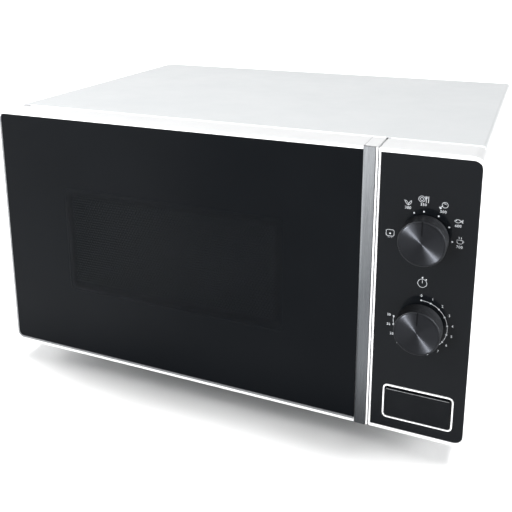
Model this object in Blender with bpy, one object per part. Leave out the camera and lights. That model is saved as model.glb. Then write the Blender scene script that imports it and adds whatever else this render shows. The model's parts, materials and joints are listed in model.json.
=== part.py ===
"""Countertop microwave oven of 20 litres, with two dials and a push-button side-hinged door.

Metres, +Z up. X runs left to right seen from the front, Y runs from front to back.
The origin is on the floor, under the middle of the oven's bounding box.
Depths are counted from the front plane, which is the face of the door glass.
"""

import math

import bmesh
import bpy
from mathutils import Matrix, Vector

# Overall size
WIDTH = 0.452
HEIGHT = 0.262
CASE_HALF = 0.2235
CASE_DEPTH = 0.332
KNOB_PROUD = 0.016
REAR_BUMP = 0.003
FRONT = KNOB_PROUD - (KNOB_PROUD + CASE_DEPTH + REAR_BUMP) / 2
REAR = FRONT + CASE_DEPTH
GAP = 0.0003
SHEET = 0.0008

# Front of the oven: heights of the door and the control panel, and depths of the layers
FRAME_Z = (0.0167, 0.2612)
LIP = -0.0004
DOOR_REAR = 0.0300
PLATE_FRONT = 0.0316
PLATE_REAR = 0.0326
BASE_Z = 0.0180

# Door
DOOR_X = (-WIDTH / 2, 0.1459)
GLASS_X = (-0.2237, 0.1344)
GLASS_Z = (0.0207, 0.2584)
GLASS_THICK = 0.0032
WEB_REAR = 0.0060
WINDOW_X = (-0.170, 0.069)
WINDOW_Z = (0.0776, 0.1973)
STRIP_X = (0.1347, 0.1442)
HINGE_X = -0.2190
HINGE_DEPTH = 0.0090
HINGE_HEIGHTS = {"upper_hinge": 0.2460, "lower_hinge": 0.0320}
HINGE_ARM_HALF = 0.0010
CHOKE_X = (-0.2140, 0.1225)
CHOKE_Z = (0.0240, 0.2545)
PLATEAU_X = (-0.1975, 0.1060)
PLATEAU_Z = (0.0400, 0.2390)

# Latch hooks in the door, and the slots that they pass through
HOOK_X = (0.1290, 0.1320)
HOOK_SHANKS_Z = ((0.0720, 0.0800), (0.2020, 0.2100))
HOOK_NOSE_DROP = 0.0060
HOOK_BAR_DEPTHS = (0.0110, 0.0190)
HOOK_TIP_DEPTH = 0.0530
HOOK_SLOT_X = (0.1265, 0.1372)
HOOK_SLOT_MARGIN = 0.0060
SPRING_CENTRE_X = 0.1305
SPRING_DEPTH = 0.0150
SPRING_Z = (0.2256, 0.2446)

# Control panel
PANEL_X = (0.1469, WIDTH / 2)
FASCIA_X = (0.1486, 0.2234)
FASCIA_Z = (0.0197, 0.2575)
FASCIA_THICK = 0.0027
PANEL_WEB = (0.0030, 0.0055)
POWER_DIAL = (0.1848, 0.1931)
TIMER_DIAL = (0.1849, 0.1186)
KNOB_RADIUS = 0.0183
SHAFT_RADIUS = 0.0030
BEZEL_X = (0.1580, 0.2150)
BEZEL_Z = (0.0287, 0.0596)
BEZEL_WALL = 0.0013
CONTROL_OPENING_X = (0.1555, 0.2165)
CONTROL_OPENING_Z = (0.0280, 0.2500)

# Push-button release
STEM_X = (0.1740, 0.1800)
STEM_Z = (0.0395, 0.0430)
STEM_END = 0.0335
LEVER_DEPTH = 0.0370
LEVER_Z = 0.0600

# Oven cavity
CAVITY_X = (-0.198, 0.108)
CAVITY_Z = (0.0430, 0.2450)
CAVITY_REAR = 0.1600
CAVITY_FRONT = FRONT + PLATE_REAR + GAP

# Turntable
TURN_X = (CAVITY_X[0] + CAVITY_X[1]) / 2
TURN_Y = (FRONT + PLATE_FRONT + CAVITY_REAR) / 2
WHEEL_RADIUS = 0.0075
WHEEL_ORBIT = 0.0880
WHEEL_HALF = 0.0030
WHEEL_Z = CAVITY_Z[0] + GAP + WHEEL_RADIUS
TRAY_Z = WHEEL_Z + WHEEL_RADIUS + GAP
TRAY_RADIUS = 0.1225

# Electrics compartment, right of the cavity
LAMP_Y = 0.1200
LAMP_Z = 0.2225
MAGNETRON_Y = 0.080
MAGNETRON_Z = 0.160
FAN_X = 0.168
FAN_Z = 0.150
FAN_RADIUS = 0.0405
DUCT_RADIUS = 0.0430

MATERIALS = {
    # name: (linear colour, roughness, metallic)
    "white_enamel": ((0.80, 0.81, 0.82), 0.35, 0.0),
    "white_plastic": ((0.82, 0.83, 0.84), 0.40, 0.0),
    "black_glass": ((0.012, 0.013, 0.015), 0.08, 0.0),
    "black_plastic": ((0.015, 0.016, 0.018), 0.35, 0.0),
    "black_metal": ((0.03, 0.03, 0.033), 0.30, 0.8),
    "silver_trim": ((0.42, 0.43, 0.45), 0.30, 0.9),
    "zinc_steel": ((0.50, 0.51, 0.52), 0.40, 0.9),
    "dark_steel": ((0.10, 0.10, 0.11), 0.45, 0.7),
    "grey_enamel": ((0.45, 0.46, 0.47), 0.40, 0.0),
    "clear_film": ((0.55, 0.58, 0.60), 0.15, 0.0),
    "tray_glass": ((0.70, 0.76, 0.76), 0.05, 0.0),
    "grey_plastic": ((0.30, 0.30, 0.31), 0.50, 0.0),
    "mica": ((0.55, 0.48, 0.36), 0.60, 0.0),
    "copper": ((0.62, 0.26, 0.12), 0.35, 0.9),
    "lamination": ((0.14, 0.13, 0.13), 0.50, 0.6),
    "aluminium": ((0.62, 0.63, 0.64), 0.30, 0.9),
    "board": ((0.08, 0.20, 0.09), 0.50, 0.0),
    "rubber": ((0.03, 0.03, 0.03), 0.80, 0.0),
}


def clear_scene():
    """Removes the objects that the scene starts with."""
    for item in list(bpy.data.objects):
        bpy.data.objects.remove(item, do_unlink=True)


def make_materials():
    """Makes one Principled material for each finish in the table."""
    for name, (colour, roughness, metallic) in MATERIALS.items():
        material = bpy.data.materials.new(name)
        material.use_nodes = True
        shader = material.node_tree.nodes["Principled BSDF"]
        shader.inputs["Base Color"].default_value = (*colour, 1.0)
        shader.inputs["Roughness"].default_value = roughness
        shader.inputs["Metallic"].default_value = metallic


def depth(distance):
    """The Y coordinate at a distance behind the front plane."""
    return FRONT + distance


def depths(near, far):
    """The Y coordinates of two distances behind the front plane."""
    return (depth(near), depth(far))


def grown(span, margin):
    """A span (low, high) made longer by a margin at both ends."""
    return (span[0] - margin, span[1] + margin)


def around(middle, half):
    """The span that reaches half a width to both sides of its middle."""
    return (middle - half, middle + half)


# Shapes: each function adds one closed body to a bmesh


def on_plane(points, axis, level):
    """Places outline points (a, b) on the plane across an axis at a level."""
    if axis == "X":
        return [Vector((level, a, b)) for a, b in points]
    if axis == "Y":
        return [Vector((a, level, b)) for a, b in points]
    return [Vector((a, b, level)) for a, b in points]


def circle(centre, radius, count):
    """Points round a circle."""
    turns = [2 * math.pi * i / count for i in range(count)]
    return [(centre[0] + radius * math.cos(t), centre[1] + radius * math.sin(t)) for t in turns]


def rounded_rectangle(a, b, radii, steps=4):
    """Outline of a rectangle; radii are those at (a0, b0), (a1, b0), (a1, b1) and (a0, b1)."""
    corners = ((a[0], b[0], 1, 1), (a[1], b[0], -1, 1), (a[1], b[1], -1, -1), (a[0], b[1], 1, -1))
    points = []
    for corner, (x, y, inward_x, inward_y) in enumerate(corners):
        radius = radii[corner]
        start = math.pi * (1 + corner / 2)
        for step in range(steps + 1):
            turn = start + math.pi / 2 * step / steps
            points.append(
                (
                    x + inward_x * radius + radius * math.cos(turn),
                    y + inward_y * radius + radius * math.sin(turn),
                )
            )
    return points


def add_loft(bm, loops, ring=False):
    """Skins loops of equal length; the ends are capped, or joined to each other in a ring."""
    rows = [[bm.verts.new(point) for point in loop] for loop in loops]
    pairs = list(zip(rows, rows[1:]))
    if ring:
        pairs.append((rows[-1], rows[0]))
    else:
        bm.faces.new(rows[0])
        bm.faces.new(rows[-1])
    for low, high in pairs:
        for i in range(len(low)):
            j = (i + 1) % len(low)
            bm.faces.new((low[i], low[j], high[j], high[i]))


def add_prism(bm, outline, axis, span):
    """A straight bar with the given outline."""
    add_loft(bm, [on_plane(outline, axis, level) for level in span])


def add_box(bm, x, y, z):
    """A block between three spans."""
    add_prism(bm, [(x[0], y[0]), (x[1], y[0]), (x[1], y[1]), (x[0], y[1])], "Z", z)


def add_cylinder(bm, centre, radius, axis, span, count=24):
    """A round bar."""
    add_prism(bm, circle(centre, radius, count), axis, span)


def add_frame(bm, outer, inner, axis, span):
    """A ring between two outlines with the same number of points."""
    loops = (
        on_plane(outer, axis, span[0]),
        on_plane(outer, axis, span[1]),
        on_plane(inner, axis, span[1]),
        on_plane(inner, axis, span[0]),
    )
    add_loft(bm, loops, ring=True)


def add_lathe(bm, profile, axis, centre, count=24, ring=False):
    """A turned body from (radius, level) points; a ring profile closes on itself."""
    rows = []
    for radius, level in profile:
        points = circle(centre, radius, count) if radius > 0 else [centre]
        rows.append([bm.verts.new(point) for point in on_plane(points, axis, level)])
    pairs = list(zip(rows, rows[1:]))
    if ring:
        pairs.append((rows[-1], rows[0]))
    for low, high in pairs:
        for i in range(count):
            j = i + 1
            corners = (
                low[i % len(low)],
                low[j % len(low)],
                high[j % len(high)],
                high[i % len(high)],
            )
            bm.faces.new(list(dict.fromkeys(corners)))


def add_turned_box(bm, x, y, z, matrix):
    """A block between three spans, then moved by a matrix."""
    first = len(bm.verts)
    add_box(bm, x, y, z)
    bm.verts.ensure_lookup_table()
    bmesh.ops.transform(bm, matrix=matrix, verts=bm.verts[first:])


def shape(*calls):
    """A new bmesh with the bodies that the calls add to it."""
    bm = bmesh.new()
    for call in calls:
        call(bm)
    return bm


def box(x, y, z):
    """A call for shape() that adds a block."""
    return lambda bm: add_box(bm, x, y, z)


def prism(outline, axis, span):
    """A call for shape() that adds a straight bar."""
    return lambda bm: add_prism(bm, outline, axis, span)


def cylinder(centre, radius, axis, span, count=24):
    """A call for shape() that adds a round bar."""
    return lambda bm: add_cylinder(bm, centre, radius, axis, span, count)


def frame(outer, inner, axis, span):
    """A call for shape() that adds a ring between two outlines."""
    return lambda bm: add_frame(bm, outer, inner, axis, span)


def lathe(profile, axis, centre, count=24, ring=False):
    """A call for shape() that adds a turned body."""
    return lambda bm: add_lathe(bm, profile, axis, centre, count, ring)


def turned_box(x, y, z, matrix):
    """A call for shape() that adds a block moved by a matrix."""
    return lambda bm: add_turned_box(bm, x, y, z, matrix)


# Nodes


def make_pivot(name, location):
    """An empty on a joint's axis, which the moving pieces are parented to."""
    pivot = bpy.data.objects.new(name, None)
    pivot.location = location
    bpy.context.collection.objects.link(pivot)
    return pivot


def mesh_object(name, bm):
    """Turns a bmesh into a linked object with its faces pointing out."""
    bmesh.ops.recalc_face_normals(bm, faces=bm.faces)
    mesh = bpy.data.meshes.new(name)
    bm.to_mesh(mesh)
    bm.free()
    item = bpy.data.objects.new(name, mesh)
    bpy.context.collection.objects.link(item)
    return item


def make_node(name, body, material, steps=(), pivot=None):
    """Makes a sub-part: a body with (operation, bmesh) steps applied in order."""
    if pivot:
        bmesh.ops.translate(body, vec=-Vector(pivot.location), verts=body.verts)
    item = mesh_object(name, body)
    item.data.materials.append(bpy.data.materials[material])
    item.data.shade_smooth()
    item.data.set_sharp_from_angle(angle=math.radians(35))
    item.parent = pivot
    for number, (operation, operand) in enumerate(steps):
        tool = mesh_object(f"{name}_tool_{number}", operand)
        tool.hide_render = True
        tool.display_type = "WIRE"
        modifier = item.modifiers.new(operation.title(), "BOOLEAN")
        modifier.operation = operation
        modifier.object = tool
        modifier.use_self = True
    return item


def cut(*calls):
    """A step that takes bodies away."""
    return ("DIFFERENCE", shape(*calls))


def join(*calls):
    """A step that adds bodies."""
    return ("UNION", shape(*calls))


# Casing and chassis


def sheet_outline(low):
    """Outline of an upright sheet that fills the casing, from a height up to just below its top."""
    half = CASE_HALF - SHEET - 0.0005
    top = HEIGHT - SHEET - 0.0006
    return rounded_rectangle((-half, half), (low, top), (0.0, 0.0, 0.0032, 0.0032), 3)


def build_outer_cover():
    """Wraps the top and both sides in one bent sheet, with vent slots in the sides."""
    outer_radius = 0.0035
    bottom = BASE_Z
    inner_half = CASE_HALF - SHEET
    outer = rounded_rectangle(
        (-CASE_HALF, CASE_HALF), (bottom, HEIGHT), (0.0, 0.0, outer_radius, outer_radius), 3
    )
    inner = rounded_rectangle(
        (-inner_half, inner_half),
        (bottom - SHEET, HEIGHT - SHEET),
        (0.0, 0.0, outer_radius - SHEET, outer_radius - SHEET),
        3,
    )
    long_slot = 0.020
    slots = []
    for side in (-1, 1):
        wall = around(side * CASE_HALF, 0.003)
        for row in range(3):
            for column in range(8):
                y = 0.060 + 0.010 * column
                low = 0.150 + 0.026 * row
                slots.append(box(wall, around(y, 0.0015), (low, low + long_slot)))
    make_node(
        "outer_cover",
        shape(prism(outer, "Y", (depth(PLATE_FRONT - 0.0002), REAR))),
        "white_enamel",
        [cut(prism(inner, "Y", (depth(0.0), REAR + 0.01))), cut(*slots)],
    )


def build_rear_panel():
    """Closes the back, with the fan grille, the exhaust slots and two wall spacers."""
    slots = []
    for row in range(9):
        z = FAN_Z + 0.008 * (row - 4)
        reach = math.sqrt(DUCT_RADIUS**2 - (z - FAN_Z) ** 2) - 0.004
        for side in (-1, 1):
            x = sorted((FAN_X + side * 0.0015, FAN_X + side * reach))
            slots.append(box(x, around(REAR, 0.004), around(z, 0.0018)))
    for row in range(2):
        for column in range(10):
            x = -0.165 + 0.010 * column
            low = 0.196 + 0.026 * row
            slots.append(box(around(x, 0.0015), around(REAR, 0.004), (low, low + 0.020)))
    slots.append(cylinder((0.195, 0.055), 0.0085, "Y", around(REAR, 0.004)))
    bumps = [
        cylinder((x, 0.120), 0.012, "Y", (REAR - 0.0005, REAR + REAR_BUMP)) for x in (-0.150, 0.075)
    ]
    make_node(
        "rear_panel",
        shape(prism(sheet_outline(BASE_Z), "Y", (REAR - 0.0010, REAR))),
        "zinc_steel",
        [join(*bumps), cut(*slots)],
    )


def build_base_plate():
    """A shallow tray that the feet and the heavy parts stand on, with air slots."""
    half = CASE_HALF - SHEET - 0.0005
    y = (depth(PLATE_REAR + 0.0020), REAR - 0.0013)
    wall = 0.0010
    slots = []
    for column in range(8):
        x = 0.130 + 0.009 * column
        for y_span in ((-0.078, -0.052), (0.020, 0.046)):
            slots.append(box(around(x, 0.0015), y_span, (BASE_Z - 0.002, BASE_Z + 0.004)))
    make_node(
        "base_plate",
        shape(box((-half, half), y, (BASE_Z, BASE_Z + 0.009))),
        "zinc_steel",
        [cut(box(around(0, half - wall), grown(y, -wall), (BASE_Z + wall, 0.05))), cut(*slots)],
    )


def build_feet():
    """Four tapered feet under the base plate."""
    profile = (
        (0.0, 0.0),
        (0.0090, 0.0),
        (0.0105, 0.0015),
        (0.0125, BASE_Z - GAP),
        (0.0, BASE_Z - GAP),
    )
    for depth_name, y in (("front", depth(0.062)), ("rear", REAR - 0.035)):
        for side_name, x in (("left", -0.185), ("right", 0.185)):
            name = f"foot_{depth_name}_{side_name}"
            make_node(name, shape(lathe(profile, "Z", (x, y), 20)), "rubber")


def build_front_plate():
    """The enamelled plate that the door closes against, round the cavity's mouth."""
    through = depths(PLATE_FRONT - 0.004, PLATE_REAR + 0.004)
    mouth = rounded_rectangle(CAVITY_X, CAVITY_Z, (0.006,) * 4, 3)
    openings = [
        prism(mouth, "Y", through),
        box(CONTROL_OPENING_X, through, CONTROL_OPENING_Z),
    ]
    for low, high in HOOK_SHANKS_Z:
        slot_z = (low - HOOK_NOSE_DROP - 0.0020, high + HOOK_SLOT_MARGIN)
        openings.append(box(HOOK_SLOT_X, through, slot_z))
    for z in HINGE_HEIGHTS.values():
        openings.append(box((-0.2300, -0.2150), through, around(z, HINGE_ARM_HALF + 0.0006)))
    make_node(
        "front_plate",
        shape(prism(sheet_outline(BASE_Z), "Y", depths(PLATE_FRONT, PLATE_REAR))),
        "grey_enamel",
        [cut(*openings)],
    )


def build_cavity_liner():
    """The oven cavity: a sheet box open at the front, with its port, vents and shaft hole."""
    outer_x = grown(CAVITY_X, SHEET)
    outer_z = grown(CAVITY_Z, SHEET)
    wall = around(CAVITY_X[1], 0.004)
    holes = [
        box(wall, (0.006, 0.090), (0.135, 0.185)),
        cylinder((TURN_X, TURN_Y), 0.0050, "Z", around(CAVITY_Z[0], 0.004), 16),
    ]
    for row in range(3):
        for column in range(3):
            y = LAMP_Y + 0.007 * (column - 1)
            z = LAMP_Z + 0.007 * (row - 1)
            holes.append(box(wall, around(y, 0.0018), around(z, 0.0018)))
    make_node(
        "cavity_liner",
        shape(box(outer_x, (CAVITY_FRONT, CAVITY_REAR + SHEET), outer_z)),
        "grey_enamel",
        [cut(box(CAVITY_X, (depth(0.0), CAVITY_REAR), CAVITY_Z)), cut(*holes)],
    )


# Microwave source and high-voltage parts


def build_waveguide():
    """The duct that leads the microwaves from the magnetron into the cavity, and its mica cover."""
    x = (CAVITY_X[1] + SHEET + GAP, 0.1290)
    y = (-0.010, 0.105)
    z = (0.122, 0.198)
    inside = box((x[0] - 0.005, x[1] - SHEET), grown(y, -SHEET), grown(z, -SHEET))
    antenna_hole = cylinder((MAGNETRON_Y, MAGNETRON_Z), 0.0100, "X", around(x[1], 0.003))
    make_node("waveguide", shape(box(x, y, z)), "zinc_steel", [cut(inside), cut(antenna_hole)])
    cover_x = (CAVITY_X[1] - GAP - 0.0006, CAVITY_X[1] - GAP)
    make_node("waveguide_cover", shape(box(cover_x, (-0.004, 0.100), (0.127, 0.193))), "mica")


def build_magnetron():
    """The yoke, the finned anode with its antenna, and the filter box with its terminals."""
    yoke_x = (0.1293, 0.1790)
    yoke_y = around(MAGNETRON_Y, 0.030)
    yoke_z = around(MAGNETRON_Z, 0.037)
    wall = 0.0014
    inside = box(grown(yoke_x, -wall), grown(yoke_y, 0.01), grown(yoke_z, -wall))
    centre = (MAGNETRON_Y, MAGNETRON_Z)
    antenna_hole = cylinder(centre, 0.0100, "X", around(yoke_x[0], 0.004))
    yoke = shape(box(yoke_x, yoke_y, yoke_z))
    make_node("magnetron_yoke", yoke, "zinc_steel", [cut(inside), cut(antenna_hole)])

    tip = 0.1140
    core_radius = 0.0190
    fin_radius = 0.0285
    fin_start = 0.1400
    profile = [(0.0, tip), (0.0060, tip + 0.0010), (0.0075, tip + 0.0040), (0.0075, 0.1350)]
    profile.append((core_radius, 0.1360))
    for fin in range(6):
        near = fin_start + 0.0050 * fin
        far = near + 0.0010
        profile += [(core_radius, near), (fin_radius, near), (fin_radius, far), (core_radius, far)]
    profile += [(core_radius, 0.1760), (0.0, 0.1760)]
    make_node("magnetron_anode", shape(lathe(profile, "X", centre, 20)), "aluminium")

    blades = [
        box((0.2010, 0.2080), around(MAGNETRON_Y + offset, 0.0030), around(MAGNETRON_Z, 0.0005))
        for offset in (-0.008, 0.008)
    ]
    make_node(
        "magnetron_filter_box",
        shape(box((0.1793, 0.2015), around(MAGNETRON_Y, 0.025), around(MAGNETRON_Z, 0.025))),
        "zinc_steel",
        [join(*blades)],
    )


def build_transformer():
    """The laminated core with its two windows, and the two windings on the middle leg."""
    core_x = (0.122, 0.206)
    core_y = (-0.065, -0.010)
    core_z = (BASE_Z + 0.0013, 0.0915)
    leg = 0.014
    middle = sum(core_x) / 2
    windows = [
        box((core_x[0] + leg, middle - leg), grown(core_y, 0.01), (0.0335, 0.0775)),
        box((middle + leg, core_x[1] - leg), grown(core_y, 0.01), (0.0335, 0.0775)),
    ]
    make_node("transformer_core", shape(box(core_x, core_y, core_z)), "lamination", [cut(*windows)])
    inner = rounded_rectangle(around(middle, leg + 0.0004), grown(core_y, 0.0004), (0.0,) * 4, 2)
    outer_x = around(middle, 2 * leg - 0.0005)
    outer = rounded_rectangle(outer_x, grown(core_y, 0.0130), (0.006,) * 4, 2)
    for name, z in (("primary_winding", (0.0340, 0.0540)), ("secondary_winding", (0.0560, 0.0770))):
        make_node(name, shape(frame(outer, inner, "Z", z)), "copper")


def build_capacitor():
    """The oval high-voltage capacitor on the base plate, and the diode beside it."""
    can = rounded_rectangle((0.104, 0.148), (BASE_Z + 0.0013, BASE_Z + 0.0310), (0.0145,) * 4, 4)
    terminals = [
        box((0.1110, 0.1190), around(y, 0.0030), around(BASE_Z + 0.016, 0.0005)) for y in (0.118, 0.134)
    ]
    make_node("hv_capacitor", shape(prism(can, "X", (0.118, 0.200))), "aluminium", [join(*terminals)])
    diode = (
        (0.0, 0.128),
        (0.0030, 0.128),
        (0.0042, 0.132),
        (0.0042, 0.146),
        (0.0030, 0.150),
        (0.0, 0.150),
    )
    height = BASE_Z + 0.0060
    lug = box((0.149, 0.160), around(0.078, 0.0035), around(height, 0.0005))
    body = shape(lathe(diode, "X", (0.078, height), 12))
    make_node("hv_diode", body, "black_plastic", [join(lug)])


# Cooling, lamp and supply


def build_fan():
    """The shroud with its motor posts, the motor's core and coil, and the spinning parts."""
    plate_y = (0.1515, 0.1535)
    plate = box((0.119, 0.217), plate_y, (0.101, 0.199))
    collar = cylinder((FAN_X, FAN_Z), DUCT_RADIUS + 0.0020, "Y", (0.1525, 0.1710), 32)
    bore = cylinder((FAN_X, FAN_Z), DUCT_RADIUS, "Y", (0.1400, 0.1800), 32)
    bars = []
    for z in (0.1745, 0.1255):
        bars.append(box((0.121, 0.215), plate_y, around(z, 0.0025)))
        for x in (FAN_X - 0.019, FAN_X + 0.019):
            bars.append(box(around(x, 0.0020), (0.1428, 0.1520), around(z, 0.0020)))
    for x in (0.132, 0.188):
        bars.append(box(around(x, 0.0020), plate_y, (0.1970, 0.2062)))
    make_node("fan_shroud", shape(plate), "grey_plastic", [join(collar), cut(bore), join(*bars)])

    core_y = (0.1285, 0.1425)
    core = box(around(FAN_X, 0.023), core_y, (0.1140, 0.1800))
    holes = [
        cylinder((FAN_X, FAN_Z), 0.0105, "Y", grown(core_y, 0.01)),
        box(around(FAN_X, 0.0130), grown(core_y, 0.01), (0.1215, 0.1295)),
    ]
    make_node("fan_motor_core", shape(core), "lamination", [cut(*holes)])
    outer = [(0.1215, 0.1065), (0.1495, 0.1065), (0.1495, 0.1285), (0.1215, 0.1285)]
    inner = [(0.1281, 0.1136), (0.1429, 0.1136), (0.1429, 0.1219), (0.1281, 0.1219)]
    make_node("fan_motor_coil", shape(frame(outer, inner, "X", around(FAN_X, 0.011))), "copper")

    pivot = make_pivot("fan_axis", (FAN_X, 0.150, FAN_Z))
    rotor = (
        (0.0, 0.1180),
        (0.0016, 0.1180),
        (0.0016, 0.1290),
        (0.0100, 0.1290),
        (0.0100, 0.1420),
        (0.0016, 0.1420),
        (0.0016, 0.1670),
        (0.0, 0.1670),
    )
    make_node("fan_rotor", shape(lathe(rotor, "Y", (FAN_X, FAN_Z), 20)), "dark_steel", pivot=pivot)
    hub = ((0.0020, 0.1565), (0.0110, 0.1565), (0.0110, 0.1680), (0.0020, 0.1680))
    blades = []
    count = 7
    pitch = math.radians(32)
    for i in range(count):
        place = (
            Matrix.Translation((FAN_X, 0.16225, FAN_Z))
            @ Matrix.Rotation(2 * math.pi * i / count, 4, "Y")
            @ Matrix.Rotation(pitch, 4, "X")
        )
        reach = (0.0100, FAN_RADIUS - 0.0012)
        blades.append(turned_box(reach, around(0, 0.0005), around(0, 0.0085), place))
    make_node(
        "fan_blade",
        shape(lathe(hub, "Y", (FAN_X, FAN_Z), 20, ring=True)),
        "grey_plastic",
        [join(*blades)],
        pivot=pivot,
    )


def build_lamp():
    """The oven lamp, in a housing on the cavity's side wall."""
    x = (CAVITY_X[1] + SHEET + GAP, 0.1560)
    y = around(LAMP_Y, 0.0130)
    z = around(LAMP_Z, 0.0130)
    inside = box((x[0] - 0.005, x[1] - 0.0012), grown(y, -0.0012), grown(z, -0.0012))
    socket = cylinder((LAMP_Y, LAMP_Z), 0.0085, "X", around(x[1], 0.004))
    make_node("lamp_housing", shape(box(x, y, z)), "zinc_steel", [cut(inside), cut(socket)])
    bulb = (
        (0.0, 0.1160),
        (0.0050, 0.1175),
        (0.0078, 0.1215),
        (0.0080, 0.1300),
        (0.0065, 0.1380),
        (0.0080, 0.1400),
        (0.0080, 0.1680),
        (0.0, 0.1680),
    )
    make_node("oven_lamp", shape(lathe(bulb, "X", (LAMP_Y, LAMP_Z), 20)), "clear_film")


def build_supply():
    """The noise filter board with its coil, and the gland where the lead would come in."""
    board = box((0.1250, 0.1950), (0.1350, 0.1700), (0.2065, 0.2081))
    coil = cylinder((0.176, 0.152), 0.0100, "Z", (0.2075, 0.2170), 20)
    fuse_block = box((0.1300, 0.1560), (0.1400, 0.1480), (0.2075, 0.2150))
    make_node("noise_filter_board", shape(board), "board", [join(coil), join(fuse_block)])
    gland = (
        (0.0040, 0.1640),
        (0.0082, 0.1640),
        (0.0082, REAR + 0.0003),
        (0.0105, REAR + 0.0003),
        (0.0105, REAR + 0.0020),
        (0.0040, REAR + 0.0020),
    )
    make_node("cord_gland", shape(lathe(gland, "Y", (0.195, 0.055), 20, ring=True)), "black_plastic")


# Turntable


def build_turntable():
    """The motor, the three-armed coupler, the roller ring with its wheels, and the glass tray."""
    centre = (TURN_X, TURN_Y)
    floor = CAVITY_Z[0]
    motor = (
        (0.0, 0.0255),
        (0.0245, 0.0255),
        (0.0245, 0.0418),
        (0.0035, 0.0418),
        (0.0035, 0.0290),
        (0.0, 0.0290),
    )
    make_node("turntable_motor", shape(lathe(motor, "Z", centre, 24)), "zinc_steel")

    pivot = make_pivot("turntable_axis", (*centre, 0.0))
    top = TRAY_Z - GAP
    hub = (
        (0.0, 0.0300),
        (0.0030, 0.0300),
        (0.0030, floor + 0.0010),
        (0.0085, floor + 0.0010),
        (0.0085, top),
        (0.0, top),
    )
    arms = []
    lugs = []
    lug_z = (TRAY_Z - 0.0045, TRAY_Z + 0.0010)
    for i in range(3):
        turn = 2 * math.pi * i / 3
        place = Matrix.Translation((*centre, 0.0)) @ Matrix.Rotation(turn, 4, "Z")
        between = place @ Matrix.Rotation(math.pi / 3, 4, "Z")
        arms.append(turned_box((0.0060, 0.0190), (-0.0035, 0.0035), (floor + 0.0020, top), place))
        lugs.append(turned_box((0.0115, 0.0170), (-0.0030, 0.0030), lug_z, between))
    coupler = shape(lathe(hub, "Z", centre, 20))
    make_node("turntable_coupler", coupler, "grey_plastic", [join(*arms)], pivot)

    tray = (
        (0.0, TRAY_Z),
        (0.1050, TRAY_Z),
        (0.1130, TRAY_Z + 0.0035),
        (TRAY_RADIUS, TRAY_Z + 0.0115),
        (TRAY_RADIUS, TRAY_Z + 0.0135),
        (TRAY_RADIUS - 0.0030, TRAY_Z + 0.0140),
        (0.1105, TRAY_Z + 0.0070),
        (0.1040, TRAY_Z + 0.0045),
        (0.0, TRAY_Z + 0.0045),
    )
    make_node("glass_tray", shape(lathe(tray, "Z", centre, 48)), "tray_glass", [join(*lugs)], pivot)

    ring_pivot = make_pivot("roller_ring_axis", (*centre, 0.0))
    ring = (
        (0.0760, WHEEL_Z - 0.0025),
        (0.0820, WHEEL_Z - 0.0025),
        (0.0820, WHEEL_Z + 0.0025),
        (0.0760, WHEEL_Z + 0.0025),
    )
    axle_x = (0.0800, WHEEL_ORBIT + 0.0050)
    axles = []
    for i in range(3):
        turn = 2 * math.pi * i / 3 + math.pi / 2
        place = Matrix.Translation((*centre, WHEEL_Z)) @ Matrix.Rotation(turn, 4, "Z")
        axles.append(turned_box(axle_x, around(0, 0.0013), around(0, 0.0013), place))
        build_wheel(i + 1, place)
    body = shape(lathe(ring, "Z", centre, 48, ring=True))
    make_node("roller_ring", body, "grey_plastic", [join(*axles)], ring_pivot)


def build_wheel(number, place):
    """One wheel on a radial axle of the roller ring; place moves the ring's axis to the axle."""
    wheel_pivot = make_pivot(f"roller_wheel_{number}_axis", place @ Vector((WHEEL_ORBIT, 0.0, 0.0)))
    profile = (
        (0.0021, WHEEL_ORBIT - WHEEL_HALF),
        (WHEEL_RADIUS - 0.0006, WHEEL_ORBIT - WHEEL_HALF),
        (WHEEL_RADIUS, WHEEL_ORBIT - WHEEL_HALF + 0.0006),
        (WHEEL_RADIUS, WHEEL_ORBIT + WHEEL_HALF - 0.0006),
        (WHEEL_RADIUS - 0.0006, WHEEL_ORBIT + WHEEL_HALF),
        (0.0021, WHEEL_ORBIT + WHEEL_HALF),
    )
    wheel = shape(lathe(profile, "X", (0.0, 0.0), 24, ring=True))
    bmesh.ops.transform(wheel, matrix=place, verts=wheel.verts)
    make_node(f"roller_wheel_{number}", wheel, "white_plastic", pivot=wheel_pivot)


# Control panel


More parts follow.
